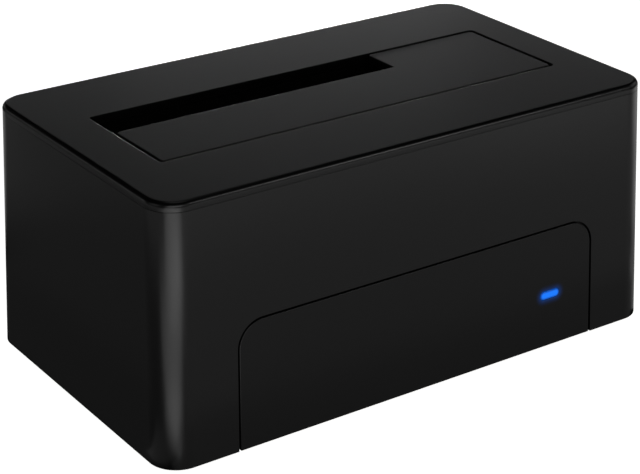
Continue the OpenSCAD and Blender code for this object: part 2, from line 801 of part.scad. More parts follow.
// Snap hook behind the panel, with its catch behind the case wall
module panel_hook() {
    reach = wall - panel_thickness + hook_play;
    root = panel_thickness / 3;
    half = hook_thickness / 2;
    translate([-hook_width / 2, 0, 0]) rotate([90, 0, 90]) linear_extrude(hook_width) polygon([
        [-half, root], [half, root], [half, -reach], [half + hook_catch, -reach], [half, -reach - hook_slope],
        [-half, -reach - hook_slope]
    ]);
}

module bottom_cover() {
    plate_l = 2 * side_x(floor_z) - 2 * (wall + bottom_gap);
    plate_d = 2 * side_y(floor_z) - 2 * (wall + bottom_gap);
    plate_r = corner_plan - wall - bottom_gap;
    counter_r = case_screw_radius * screw_head_ratio + screw_play;
    color(black_plastic) difference() {
        union() {
            translate([0, 0, base_z]) linear_extrude(bottom_thickness)
                rounded_rect(plate_l, plate_d, plate_r);
            for (p = post_points) translate([p[0], p[1], floor_z - bottom_thickness / 2])
                cylinder(r = post_radius + post_boss_margin, h = post_boss_height + bottom_thickness / 2);
            for (p = board_screw_points) translate([p[0], p[1], floor_z - bottom_thickness / 2])
                cylinder(r = board_boss_radius, h = board_standoff + bottom_thickness / 2);
        }
        for (p = post_points) translate([p[0], p[1], base_z - past]) {
            cylinder(r = counter_r, h = case_head_z - base_z + past);
            cylinder(r = case_screw_radius + screw_play, h = post_foot_z - base_z + 2 * past);
        }
        for (p = board_screw_points) translate([p[0], p[1], board_top - board_screw_length - screw_tip_room])
            cylinder(r = board_screw_radius + screw_clearance, h = board_screw_length + past);
        for (p = foot_points) translate([p[0], p[1], base_z - past])
            cylinder(r = foot_radius + foot_gap, h = foot_recess + past);
        for (i = [0:vent_count - 1], sy = [-1, 1])
            translate([(i - (vent_count - 1) / 2) * vent_pitch, sy * (vent_length / 2 + vent_pitch), 0])
                translate([0, 0, base_z - past]) linear_extrude(bottom_thickness + 2 * past)
                    rotate([0, 0, 90]) pill(vent_length, vent_width);
    }
}

module rubber_feet() {
    round_r = 0.6;
    foot_h = foot_height + foot_recess;
    color([0.02, 0.02, 0.02]) for (p = foot_points) translate([p[0], p[1], 0]) rotate_extrude() {
        span(0, 0, foot_radius - round_r, foot_h);
        span(0, round_r, foot_radius, foot_h);
        translate([foot_radius - round_r, round_r]) circle(round_r);
    }
}

// Bay

module drive_well() {
    well_r = 1.5;
    mid_x = (well_x0 + well_x1) / 2;
    mid_y = (well_y0 + well_y1) / 2;
    inner_l = well_x1 - well_x0;
    inner_d = well_y1 - well_y0;
    color(dark_plastic) difference() {
        union() {
            difference() {
                translate([mid_x, mid_y, well_floor_z]) linear_extrude(cover_z - well_floor_z)
                    rounded_rect(inner_l + 2 * well_wall, inner_d + 2 * well_wall, well_r + well_wall);
                translate([mid_x, mid_y, well_floor_top]) linear_extrude(cover_z)
                    rounded_rect(inner_l, inner_d, well_r);
            }
            for (p = ear_points) well_ear(p);
            rear_guides();
            end_guides();
        }
        translate([socket_x, socket_y, well_floor_z - past]) linear_extrude(well_wall + 2 * past)
            square([socket_length + 2 * socket_gap, socket_width + 2 * socket_gap], center = true);
        for (p = ear_points) translate([p[0], p[1], ear_z - well_wall - past])
            cylinder(r = board_screw_radius + screw_play, h = well_wall + 2 * past);
    }
}

// Screw ear on the outside of the well, round at its free end
module well_ear(p) {
    inward = p[1] < opening_y ? 1 : -1;
    ear_lap = 0.2;
    translate([p[0], p[1], ear_z - well_wall]) linear_extrude(well_wall) {
        circle(ear_size / 2);
        translate([0, inward * ear_size / 4]) square([ear_size, ear_size / 2 + ear_lap], center = true);
    }
}

// Upright ribs that hold the drive's face in line with the edge of the opening, clear of the stop tabs
module rear_guides() {
    guide_y0 = opening_y1 + guide_gap;
    guide_count = 4;
    for (i = [0:guide_count - 1]) {
        x = opening_x0 + (i + 0.5) * slot_length / guide_count;
        translate([0, 0, well_floor_top]) linear_extrude(cover_z - guide_drop - well_floor_top)
            span(x - guide_width / 2, guide_y0, x + guide_width / 2, well_y1 + well_wall / 2);
    }
}

// Low rails on the floor at both ends of the well, which the drive stands on
module end_guides() {
    for (x = [well_x0 + rail_inset, well_x1 - rail_inset - guide_width])
        translate([0, 0, well_floor_top - well_wall / 2]) linear_extrude(rail_height + well_wall / 2)
            span(x, well_y0 + rail_front, x + guide_width, well_y1 - rail_rear);
}

module drive_flap() {
    color(black_plastic) difference() {
        union() {
            translate([0, 0, flap_under]) linear_extrude(flap_thickness) flap_outline();
            flap_ribs();
            for (x = knuckle_xs) along_x(x - knuckle_length / 2, knuckle_length) knuckle_profile();
            for (x = stop_xs) along_x(x - stop_width / 2, stop_width) stop_profile();
        }
        translate([pin_x0, hinge_y, hinge_z]) rotate([0, 90, 0])
            cylinder(r = pin_radius + pin_running_clearance, h = pin_x1 - pin_x0);
    }
}

// L-shaped outline: a strip along the front and a wide end beside the slot
module flap_outline() {
    translate([(flap_x0 + flap_x1) / 2, (flap_y0 + slot_y0) / 2])
        rounded_rect(flap_x1 - flap_x0, slot_y0 - flap_y0, flap_radius);
    translate([(slot_x1 + flap_x1) / 2, (flap_y0 + flap_y1) / 2])
        rounded_rect(flap_x1 - slot_x1, flap_y1 - flap_y0, flap_radius);
}

// Stiffening ribs under the flap, along the slot's edge and across the wide end
module flap_ribs() {
    z0 = flap_under - flap_rib_depth;
    depth = flap_rib_depth + flap_thickness / 2;
    edge = 1.6;
    rib_y0 = flap_y0 + hinge_clear;
    translate([0, 0, z0]) linear_extrude(depth) {
        span(flap_x0 + edge, slot_y0 - edge - flap_rib_width, slot_x1 + edge, slot_y0 - edge);
        span(
            slot_x1 + edge, slot_y0 - edge - flap_rib_width, slot_x1 + edge + flap_rib_width, flap_y1 - edge
        );
        span(flap_x1 - edge - flap_rib_width, rib_y0, flap_x1 - edge, flap_y1 - edge);
        span(flap_x0 + edge, rib_y0, flap_x0 + edge + flap_rib_width, slot_y0 - edge);
    }
}

// Knuckle with a web that goes round the edge of the cover up to the flap
module knuckle_profile() {
    web = 3;
    web_drop = 0.15;
    web_set_back = 0.4;
    join_z = flap_under + flap_thickness / 2;
    // The web leaves the knuckle inside its round
    leave = 0.9 * knuckle_radius;
    leave_angle = 24;
    translate([hinge_y, hinge_z]) circle(knuckle_radius);
    polygon([
        [hinge_y, hinge_z], [flap_y0, flap_under - web_drop], [flap_y0 + web_set_back, join_z],
        [flap_y0 + web, join_z], [flap_y0 + web, flap_under],
        [hinge_y + leave * cos(leave_angle), hinge_z - leave * sin(leave_angle)], [hinge_y, hinge_z - leave]
    ]);
}

// Tab that meets the underside of the cover and stops the flap flush
module stop_profile() {
    root = 3;
    set_back = 0.2;
    span(flap_y1 - root, stop_top - stop_thickness, flap_y1 - set_back, flap_under + flap_thickness / 2);
    span(flap_y1 - root, stop_top - stop_thickness, stop_tip_y, stop_top);
}

module flap_hinge_pin() {
    color(steel) translate([pin_x0, hinge_y, hinge_z]) rotate([0, 90, 0])
        cylinder(r = pin_radius, h = pin_x1 - pin_x0);
}

// Path of the flap spring: up the fixed leg, round the pin and out along the underside of the flap
spring_rings = 12;
wire_sides = 6;
spring_steps = (spring_turns + 0.25) * spring_rings;
coil_path = [
    for (i = [0:spring_steps])
        let(a = 180 - 360 * i / spring_rings)
        [
            coil_x0 + i * spring_pitch / spring_rings, hinge_y + coil_radius * cos(a),
            hinge_z + coil_radius * sin(a)
        ]
];
fixed_leg_y = well_y0 + spring_wire / 2 + spring_leg_gap;
fixed_leg_lean = atan((fixed_leg_y - hinge_y + coil_radius) / -spring_leg);
moving_leg_z = flap_under - spring_wire / 2 - spring_leg_gap;
moving_leg_lean = atan((moving_leg_z - hinge_z - coil_radius) / spring_leg);
spring_path = concat(
    [coil_path[0] + [0, -spring_leg * tan(fixed_leg_lean), -spring_leg]],
    coil_path,
    [coil_path[len(coil_path) - 1] + [0, spring_leg, spring_leg * tan(moving_leg_lean)]]
);
echo(flap_spring_least_gap = spring_pitch - spring_wire);

module flap_spring() {
    color(steel) tube(spring_path, spring_wire / 2, wire_sides);
}

// Drive socket

module sata_housing() {
    key = 1.2;
    slot_back = socket_y + contact_slot / 2;
    color(dark_plastic) difference() {
        union() {
            translate([socket_x, socket_y, board_top]) linear_extrude(socket_height)
                square([socket_length, socket_width], center = true);
            translate([socket_x, socket_y, board_top]) linear_extrude(socket_foot)
                square([socket_length + 2 * socket_foot_reach, socket_width], center = true);
        }
        translate([0, 0, socket_top - contact_depth]) linear_extrude(contact_depth + past)
            for (g = contact_groups) {
                x0 = socket_x + g[0] * contact_pitch - contact_end_room;
                x1 = socket_x + g[len(g) - 1] * contact_pitch + contact_end_room;
                span(x0, slot_back - contact_slot, x1, slot_back);
                span(x1 - key, slot_back - contact_slot - key, x1, slot_back);
            }
    }
}

module sata_contacts() {
    z0 = socket_top - contact_depth;
    y0 = socket_y + contact_slot / 2 - contact_thickness;
    color(gold) for (g = contact_groups, n = g)
        translate([socket_x + n * contact_pitch - contact_width / 2, y0, z0])
            cube([contact_width, contact_thickness, contact_depth - contact_sink]);
}

// Board and what it carries

module main_board() {
    color([0.05, 0.25, 0.12]) difference() {
        translate([-board_length / 2, board_y0, board_z])
            cube([board_length, board_y1 - board_y0, board_thickness]);
        for (p = board_screw_points) translate([p[0], p[1], board_z - past])
            cylinder(r = board_screw_radius + screw_play, h = board_thickness + 2 * past);
    }
}

// Chip with gull-wing legs along its two long sides
module leaded_chip(size, legs) {
    length = size[0];
    width = size[1];
    height = size[2];
    leg = 0.4;
    leg_height = 0.5;
    leg_lap = 0.2;
    leg_reach = 0.9;
    stand_off = 0.15;
    pitch = length / legs;
    translate([0, 0, stand_off]) linear_extrude(height - stand_off) square([length, width], center = true);
    for (i = [0:legs - 1]) translate([(i - (legs - 1) / 2) * pitch, 0, 0]) linear_extrude(leg_height) {
        span(-leg / 2, width / 2 - leg_lap, leg / 2, width / 2 + leg_reach);
        span(-leg / 2, -width / 2 - leg_reach, leg / 2, -width / 2 + leg_lap);
    }
}

module bridge_chip() {
    dimple_inset = 1.2;
    dimple_depth = 0.1;
    dimple_radius = 0.5;
    dimple = bridge_side / 2 - dimple_inset;
    color(chip_black) translate([socket_x, socket_y - chip_row, board_top]) difference() {
        linear_extrude(bridge_thickness) square(bridge_side, center = true);
        translate([-dimple, dimple, bridge_thickness - dimple_depth]) cylinder(r = dimple_radius, h = past);
    }
}

module flash_chip() {
    color(chip_black) translate([socket_x - chip_spacing, socket_y - chip_row, board_top])
        leaded_chip(small_chip, 4);
}

module crystal_can() {
    color(steel) translate([socket_x + chip_spacing, socket_y - chip_row, board_top])
        linear_extrude(crystal_size[2]) pill(crystal_size[0], crystal_size[1]);
}

// Middle of the power section, between the bay's middle and its right end
power_x = opening_x + opening_length / 4 + power_shift_x;
power_y = opening_y - power_shift_y;

module voltage_regulators() {
    color(chip_black) for (s = [-1, 1])
        translate([power_x + s * power_spread, power_y + regulator_offset, board_top])
            leaded_chip(small_chip, 4);
}

module power_inductors() {
    corner = 1.2;
    color([0.2, 0.2, 0.21]) for (s = [-1, 1]) translate([power_x + s * power_spread, power_y, board_top])
        linear_extrude(inductor_height) rounded_rect(inductor_side, inductor_side, corner);
}

module bulk_capacitors() {
    spacing = 10;
    base_side = 2 * bulk_radius + 0.3;
    base_height = 1.3;
    color([0.7, 0.71, 0.73]) for (s = [-1, 1])
        translate([opening_x + s * spacing / 2, front_zone_y, board_top]) {
            linear_extrude(base_height) square(base_side, center = true);
            cylinder(r = bulk_radius, h = bulk_height);
        }
}

module chip_capacitors() {
    rows = [power_y - capacitor_front_row, power_y + capacitor_rear_row];
    color([0.55, 0.42, 0.28]) for (i = [-3:3], y = rows)
        translate([power_x + i * capacitor_spacing, y, board_top]) linear_extrude(chip_capacitor[2])
            square([chip_capacitor[0], chip_capacitor[1]], center = true);
}

module chip_resistors() {
    color(chip_black) for (i = [-5:5])
        translate([socket_x + i * resistor_spacing, socket_y - resistor_row, board_top])
            linear_extrude(chip_resistor[2]) square([chip_resistor[0], chip_resistor[1]], center = true);
}

// Light

light_z = base_z + light_height;
lamp_y = -side_y(light_z) + wall + pipe_run + light_width / 2;

module status_led() {
    color([0.92, 0.93, 0.9]) translate([light_x, lamp_y, board_top]) linear_extrude(lamp_size[2])
        square([lamp_size[0], lamp_size[1]], center = true);
}

// Light pipe: window in the panel, collar behind the wall and a leg down to the lamp
module light_pipe() {
    pipe_length = wall + pipe_run + light_width;
    leg_z = board_top + lamp_size[2] + lamp_gap;
    color([0.04, 0.45, 1]) {
        on_front() translate([light_x, light_height / cos(wall_draft), 0]) {
            translate([0, 0, -pipe_length]) linear_extrude(pipe_length) pill(light_length, light_width);
            translate([0, 0, -wall - collar_thickness]) linear_extrude(collar_thickness)
                pill(light_length + 2 * collar_width, light_width + 2 * collar_width);
        }
        translate([light_x, lamp_y, leg_z]) linear_extrude(light_z - leg_z)
            square([pipe_leg, light_width], center = true);
    }
}

// Data port

// Outline of the square data port with its narrow upper storey, grown by a margin
module usb_profile(grow) {
    half = usb_half + grow;
    upper_half = usb_upper_half + grow;
    // The shoulders slope at about 45 degrees, so they rise by less than the margin
    rise = grow * 0.4;
    shoulder = usb_shoulder + rise;
    upper_z = usb_neck + rise;
    top = usb_height + grow;
    polygon([
        [-half, -grow], [half, -grow], [half, shoulder], [upper_half, upper_z], [upper_half, top],
        [-upper_half, top], [-upper_half, upper_z], [-half, shoulder]
    ]);
}

module usb_shell() {
    color(steel) {
        into_case(port_face, usb_depth) translate([usb_x, usb_z]) difference() {
            usb_profile(usb_sheet);
            usb_profile(0);
        }
        into_case(port_face - usb_depth, usb_sheet) translate([usb_x, usb_z]) usb_profile(usb_sheet);
    }
}

// Block at the port's back, and the two tongues that stand out of it
module usb_insert() {
    color([0.03, 0.1, 0.5]) translate([usb_x, 0, usb_z]) {
        into_case(port_face - usb_depth + usb_block, usb_block) usb_profile(-usb_fit);
        into_case(port_face - usb_tongue_sink, usb_depth - usb_block - usb_tongue_sink + usb_fit) {
            span(-usb_tongue_half, usb_tongue_z0, usb_tongue_half, usb_tongue_z1);
            span(-usb_ledge_half, usb_ledge_z0, usb_ledge_half, usb_ledge_z1);
        }
    }
}

module usb_contacts() {
    sink = usb_tongue_sink + 1;
    thick = 0.2;
    lower_spacing = 2.5;
    lower_width = 1;
    upper_spacing = 0.85;
    upper_width = 0.4;
    color(gold) translate([usb_x, 0, usb_z]) into_case(port_face - sink, usb_depth - usb_block - sink) {
        for (s = [-1, 1], z = [usb_tongue_z0 - thick, usb_tongue_z1])
            translate([(s * lower_spacing - lower_width) / 2, z]) square([lower_width, thick]);
        for (i = [-2:2]) translate([i * upper_spacing - upper_width / 2, usb_ledge_z0 - thick])
            square([upper_width, thick]);
    }
}

// Power inlet

// Spring leaf that lies in a pocket under the bore
leaf_width = 2.2;
leaf_play = 0.2;
leaf_sink = 2;
leaf_z = jack_z - jack_bore_radius - 0.8;

module dc_jack_body() {
    color(dark_plastic) difference() {
        into_case(port_face, jack_depth) translate([jack_x, board_top + jack_height / 2])
            square([jack_width, jack_height], center = true);
        into_case(port_face + past, jack_bore_depth + past) translate([jack_x, jack_z])
            circle(jack_bore_radius);
        along_x(jack_x - leaf_width / 2 - leaf_play, leaf_width + 2 * leaf_play)
            span(port_face - jack_bore_depth, leaf_z, port_face - leaf_sink, jack_z - jack_bore_radius / 2);
    }
}

module dc_jack_pin() {
    tip = jack_pin_radius * 0.6;
    tip_radius = jack_pin_radius * 0.4;
    pin_sink = 1;
    straight = jack_bore_depth - pin_sink - tip;
    color(steel) translate([jack_x, port_face - jack_bore_depth, jack_z]) rotate([-90, 0, 0]) {
        cylinder(r = jack_pin_radius, h = straight);
        translate([0, 0, straight]) cylinder(r1 = jack_pin_radius, r2 = tip_radius, h = tip);
    }
}

module dc_jack_leaf() {
    thick = 0.3;
    bow = 1.3;
    length = jack_bore_depth - leaf_sink - 2 * leaf_play;
    color(gold) translate([0, port_face - jack_bore_depth, leaf_z])
        along_x(jack_x - leaf_width / 2, leaf_width) polygon([
            [0, 0], [length, 0], [length, thick], [length * 0.7, bow], [length * 0.5, bow],
            [length * 0.2, thick], [0, thick]
        ]);
}

// Power switch

stem_bore = plunger_side + 2 * plunger_gap;
stem_room = button_travel + switch_room;
module switch_body() {
    color(dark_plastic) difference() {
        into_case(switch_front, switch_depth) translate([button_x, button_z])
            square([switch_width, switch_height], center = true);
        into_case(switch_front + past, plunger_in + stem_room + past) translate([button_x, button_z])
            square(stem_bore, center = true);
    }
}

module switch_plunger() {
    outside = stem_room + plunger_grip;
    color([0.85, 0.85, 0.82]) into_case(switch_front + outside, plunger_in + outside)
        translate([button_x, button_z]) square(plunger_side, center = true);
}

// Return spring of the switch, round the plunger between the switch's face and the cap
return_radius = plunger_side / sqrt(2) + plunger_gap + return_wire / 2;
return_end_gap = 0.1;
return_y0 = switch_front + return_wire / 2 + return_end_gap;
return_length = stem_room - return_wire - 2 * return_end_gap;
return_steps = return_turns * spring_rings;
return_path = [
    for (i = [0:return_steps])
        let(a = 360 * i / spring_rings)
        [
            button_x + return_radius * cos(a), return_y0 + return_length * i / return_steps,
            button_z + return_radius * sin(a)
        ]
];
module switch_spring() {
    color(steel) tube(return_path, return_wire / 2, wire_sides);
}

module power_button() {
    crown = 0.5;
    color([0.09, 0.09, 0.1]) translate([button_x, button_face, button_z]) rotate([90, 0, 0]) difference() {
        union() {
            cylinder(r1 = button_radius - crown, r2 = button_radius, h = crown);
            translate([0, 0, crown]) cylinder(r = button_radius, h = button_length - crown);
        }
        translate([0, 0, button_length - plunger_grip]) linear_extrude(plunger_grip + past)
            square(plunger_side, center = true);
    }
}

// Fasteners

module case_screws() {
    color(steel) for (p = post_points) translate([p[0], p[1], case_head_z])
        screw(case_screw_radius, case_screw_length);
}

module pcb_screws() {
    color(steel) for (p = board_screw_points) translate([p[0], p[1], board_top]) rotate([180, 0, 0])
        screw(board_screw_radius, board_screw_length);
}

module well_screws() {
    color(steel) for (p = ear_points) translate([p[0], p[1], ear_z - well_wall])
        screw(board_screw_radius, well_screw_length);
}

body_shell();
top_cover();
front_panel();
bottom_cover();
drive_well();
drive_flap();
flap_hinge_pin();
flap_spring();
sata_housing();
sata_contacts();
main_board();
bridge_chip();
flash_chip();
crystal_can();
voltage_regulators();
power_inductors();
bulk_capacitors();
chip_capacitors();
chip_resistors();
status_led();
light_pipe();
usb_shell();
usb_insert();
usb_contacts();
dc_jack_body();
dc_jack_pin();
dc_jack_leaf();
switch_body();
switch_plunger();
switch_spring();
power_button();
rubber_feet();
case_screws();
pcb_screws();
well_screws();
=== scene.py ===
"""Looks of a single-bay hard drive docking station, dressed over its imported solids.

Sizes are in millimetres, in the frame of the solids: X along the case, the front faces -Y, Z is up.
They turn into metres where they reach Blender.
"""

import json
import logging
import math
from dataclasses import dataclass
from enum import Enum
from typing import Any

import bmesh
import bpy
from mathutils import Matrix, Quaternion, Vector


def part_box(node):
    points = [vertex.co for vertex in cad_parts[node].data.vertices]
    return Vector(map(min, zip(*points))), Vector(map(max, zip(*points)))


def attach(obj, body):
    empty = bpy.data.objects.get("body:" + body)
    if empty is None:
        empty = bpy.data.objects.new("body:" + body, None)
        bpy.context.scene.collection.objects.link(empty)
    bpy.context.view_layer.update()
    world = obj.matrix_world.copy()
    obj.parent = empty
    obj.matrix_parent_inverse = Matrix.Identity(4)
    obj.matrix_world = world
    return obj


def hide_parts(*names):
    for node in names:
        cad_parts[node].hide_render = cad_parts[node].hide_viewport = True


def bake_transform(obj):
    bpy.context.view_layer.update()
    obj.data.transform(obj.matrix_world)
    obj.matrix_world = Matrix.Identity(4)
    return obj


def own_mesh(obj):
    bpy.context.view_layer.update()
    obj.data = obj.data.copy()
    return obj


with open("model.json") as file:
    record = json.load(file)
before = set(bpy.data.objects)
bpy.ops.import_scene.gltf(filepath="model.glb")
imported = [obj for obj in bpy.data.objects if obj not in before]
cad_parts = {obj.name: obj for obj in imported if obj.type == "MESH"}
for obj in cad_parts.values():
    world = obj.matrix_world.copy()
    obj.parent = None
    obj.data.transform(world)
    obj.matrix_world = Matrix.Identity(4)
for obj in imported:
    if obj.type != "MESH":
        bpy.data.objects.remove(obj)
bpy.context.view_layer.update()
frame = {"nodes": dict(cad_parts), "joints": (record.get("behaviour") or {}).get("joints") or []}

MM = 0.001
LOG = logging.getLogger("dock")
Point = tuple[float, float, float]


def linear(hex_colour: str) -> tuple[float, float, float, float]:
    """Turns an sRGB colour into linear light.

    Args:
        hex_colour: Six hex digits after a hash.

    Returns:
        Red, green, blue and an alpha of one.
    """
    shares = [int(hex_colour[start:start + 2], 16) / 255 for start in (1, 3, 5)]
    red, green, blue = (s / 12.92 if s <= 0.04045 else ((s + 0.055) / 1.055) ** 2.4 for s in shares)
    return red, green, blue, 1.0


def metres(point: Point) -> Vector:
    """Returns a point in metres from one in millimetres."""
    return Vector(point) * MM


def box_mm(node: str) -> tuple[Vector, Vector]:
    """Returns a solid's lowest and highest corners in millimetres."""
    low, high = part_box(node)
    return low / MM, high / MM


def add_node(tree: bpy.types.NodeTree, kind: str, inputs: dict[Any, Any] | None = None,
             **settings: Any) -> bpy.types.Node:
    """Adds one shader node.

    Args:
        tree: Tree that takes the node.
        kind: Blender's name for the type of node.
        inputs: Values, or sockets to link from, by the name or number of the input.
        settings: Properties of the node.

    Returns:
        The new node.
    """
    node = tree.nodes.new(kind)
    for name, value in settings.items():
        setattr(node, name, value)
    for key, value in (inputs or {}).items():
        if isinstance(value, bpy.types.NodeSocket):
            tree.links.new(value, node.inputs[key])
        else:
            node.inputs[key].default_value = value
    return node


# Finishes

# Levels between which nearly all of a noise texture lies
NOISE_LOW = 0.3
NOISE_HIGH = 0.7
# Octaves of the fine grain and of the broad patches
GRAIN_DETAIL = 3.0
PATCH_DETAIL = 4.0


@dataclass(frozen=True)
class Finish:
    """A material and how its surface was made.

    Attributes:
        name: What it is made of and how.
        slot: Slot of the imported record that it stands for.
        colour: Colour as sRGB hex.
        roughness: Microscopic roughness.
        grain_mm: Width of the grain or streaks of the surface.
        depth_mm: Height of that grain.
        spread: How far roughness wanders over the surface, nothing where it is even.
        metallic: One for a bare metal.
        ior: Refractive index, which a metal leaves at Blender's default.
        gloss: Specular level, below a half where dust and a coarse grain swallow the gloss.
    """

    name: str
    slot: str
    colour: str
    roughness: float
    grain_mm: float
    depth_mm: float
    spread: float = 0.05
    metallic: float = 0.0
    ior: float = 1.5
    gloss: float = 0.5

    def material(self) -> bpy.types.Material:
        """Returns the Blender material, which is made the first time."""
        found = bpy.data.materials.get(self.name)
        if found is not None:
            return found
        made = bpy.data.materials.new(self.name)
        made.use_nodes = True
        tree = made.node_tree
        tree.nodes.clear()
        shader = add_node(tree, "ShaderNodeBsdfPrincipled", {
            "Metallic": self.metallic, "Roughness": self.roughness, "IOR": self.ior,
            "Specular IOR Level": self.gloss})
        self.weave(tree, shader)
        add_node(tree, "ShaderNodeOutputMaterial", {"Surface": shader.outputs["BSDF"]})
        return made

    def weave(self, tree: bpy.types.NodeTree, shader: bpy.types.Node) -> None:
        """Gives the shader the pattern of this kind of surface.

        Args:
            tree: Tree of the material.
            shader: The material's shader.
        """
        raise NotImplementedError

    def per_metre(self, size_mm: float) -> float:
        """Returns the texture scale at which one feature is that wide."""
        return 1 / (size_mm * MM)

    def grain(self, tree: bpy.types.NodeTree, shader: bpy.types.Node,
              stretch: Point = (1, 1, 1)) -> bpy.types.Node:
        """Adds the grain of the surface as bump.

        Args:
            tree: Tree of the material.
            shader: The material's shader, which takes the bumped normal.
            stretch: Scale of the pattern along each axis.

        Returns:
            The noise that the bump is made from.
        """
        place = add_node(tree, "ShaderNodeTexCoord")
        laid = add_node(tree, "ShaderNodeMapping", {"Vector": place.outputs["Object"], "Scale": stretch})
        noise = add_node(tree, "ShaderNodeTexNoise", {
            "Vector": laid.outputs["Vector"], "Scale": self.per_metre(self.grain_mm), "Detail": GRAIN_DETAIL})
        bump = add_node(tree, "ShaderNodeBump", {
            "Height": noise.outputs["Fac"], "Strength": 1.0, "Distance": self.depth_mm * MM})
        tree.links.new(bump.outputs["Normal"], shader.inputs["Normal"])
        return noise

    def wander(self, tree: bpy.types.NodeTree, shader: bpy.types.Node, patch_mm: float) -> None:
        """Lets roughness wander in broad patches, as handling and moulding leave it.

        Args:
            tree: Tree of the material.
            shader: The material's shader, which takes the roughness.
            patch_mm: Width of a patch.
        """
        place = add_node(tree, "ShaderNodeTexCoord")
        patches = add_node(tree, "ShaderNodeTexNoise", {
            "Vector": place.outputs["Object"], "Scale": self.per_metre(patch_mm), "Detail": PATCH_DETAIL})
        rough = add_node(tree, "ShaderNodeMapRange", {
            "Value": patches.outputs["Fac"], "From Min": NOISE_LOW, "From Max": NOISE_HIGH,
            "To Min": self.roughness - self.spread, "To Max": self.roughness + self.spread})
        tree.links.new(rough.outputs["Result"], shader.inputs["Roughness"])


@dataclass(frozen=True)
class MouldedPlastic(Finish):
    """Plastic from a tool whose steel was spark eroded, so that it is matte with a fine even grain.

    Attributes:
        hollow_shade: Painted shade in the hollows of the grain, as sRGB hex.
        patch_mm: Width of the patches that shine a little more or less.
        hollow: Noise levels at the bottom and at the top of a hollow.
    """

    hollow_shade: str = "#000000"
    patch_mm: float = 35.0
    hollow: tuple[float, float] = (0.25, 0.55)

    def weave(self, tree: bpy.types.NodeTree, shader: bpy.types.Node) -> None:
        """Fine grain with painted shade in its hollows, and soft patches of shine where roughness wanders."""
        noise = self.grain(tree, shader)
        if self.spread > 0:
            self.wander(tree, shader, self.patch_mm)
        # Painted shade: the hollows of the grain are drawn in the darker colour
        height = add_node(tree, "ShaderNodeMapRange", {
            "Value": noise.outputs["Fac"], "From Min": self.hollow[0], "From Max": self.hollow[1]})
        colour = add_node(tree, "ShaderNodeMix", {
            "Factor": height.outputs["Result"], "A": linear(self.hollow_shade),
            "B": linear(self.colour)}, data_type="RGBA")
        tree.links.new(colour.outputs["Result"], shader.inputs["Base Color"])


@dataclass(frozen=True)
class WorkedMetal(Finish):
    """Metal that was drawn, ground or plated, with fine streaks along one axis.

    Attributes:
        worn: Colour along the streaks, as sRGB hex.
        stretch: Scale of the streaks along each axis, small along their length.
    """

    worn: str = "#808080"
    stretch: Point = (0.05, 1, 1)

    def weave(self, tree: bpy.types.NodeTree, shader: bpy.types.Node) -> None:
        """Streaks in colour, shine and height."""
        noise = self.grain(tree, shader, self.stretch)
        rough = add_node(tree, "ShaderNodeMapRange", {
            "Value": noise.outputs["Fac"], "From Min": NOISE_LOW, "From Max": NOISE_HIGH,
            "To Min": self.roughness - self.spread, "To Max": self.roughness + self.spread})
        tree.links.new(rough.outputs["Result"], shader.inputs["Roughness"])
        colour = add_node(tree, "ShaderNodeMix", {
            "Factor": noise.outputs["Fac"], "A": linear(self.worn),
            "B": linear(self.colour)}, data_type="RGBA")
        tree.links.new(colour.outputs["Result"], shader.inputs["Base Color"])


@dataclass(frozen=True)
class SolderResist(Finish):
    """Glass laminate under a screened coat, with copper tracks that show through it a little lighter.

    Attributes:
        track: Colour of the coat over a track, as sRGB hex.
        pitch_mm: Spacing of the tracks.
        patch_pitches: Width of a patch of shine, in spacings.
        block_pitches: Width of a block of tracks, in spacings.
        block_share: Share of a block that has tracks.
        track_level: Wave level above which the coat lies on copper.
    """

    track: str = "#1c6b3c"
    pitch_mm: float = 1.6
    patch_pitches: float = 6
    block_pitches: float = 8
    block_share: float = 0.42
    track_level: float = 0.7

    def weave(self, tree: bpy.types.NodeTree, shader: bpy.types.Node) -> None:
        """Runs of tracks that start and stop in blocks."""
        self.grain(tree, shader)
        self.wander(tree, shader, self.pitch_mm * self.patch_pitches)
        place = add_node(tree, "ShaderNodeTexCoord")
        lines = add_node(tree, "ShaderNodeTexWave", {
            "Vector": place.outputs["Object"], "Scale": self.per_metre(self.pitch_mm) / (2 * math.pi),
            "Distortion": 0.0}, bands_direction="Y")
        blocks = add_node(tree, "ShaderNodeTexVoronoi", {
            "Vector": place.outputs["Object"],
            "Scale": self.per_metre(self.pitch_mm * self.block_pitches)}, distance="CHEBYCHEV")
        where = add_node(tree, "ShaderNodeMath", {
            0: blocks.outputs["Distance"], 1: self.block_share}, operation="LESS_THAN")
        line = add_node(tree, "ShaderNodeMath", {
            0: lines.outputs["Fac"], 1: self.track_level}, operation="GREATER_THAN")
        share = add_node(tree, "ShaderNodeMath", {
            0: where.outputs["Value"], 1: line.outputs["Value"]}, operation="MULTIPLY")
        colour = add_node(tree, "ShaderNodeMix", {
            "Factor": share.outputs["Value"], "A": linear(self.colour),
            "B": linear(self.track)}, data_type="RGBA")
        tree.links.new(colour.outputs["Result"], shader.inputs["Base Color"])


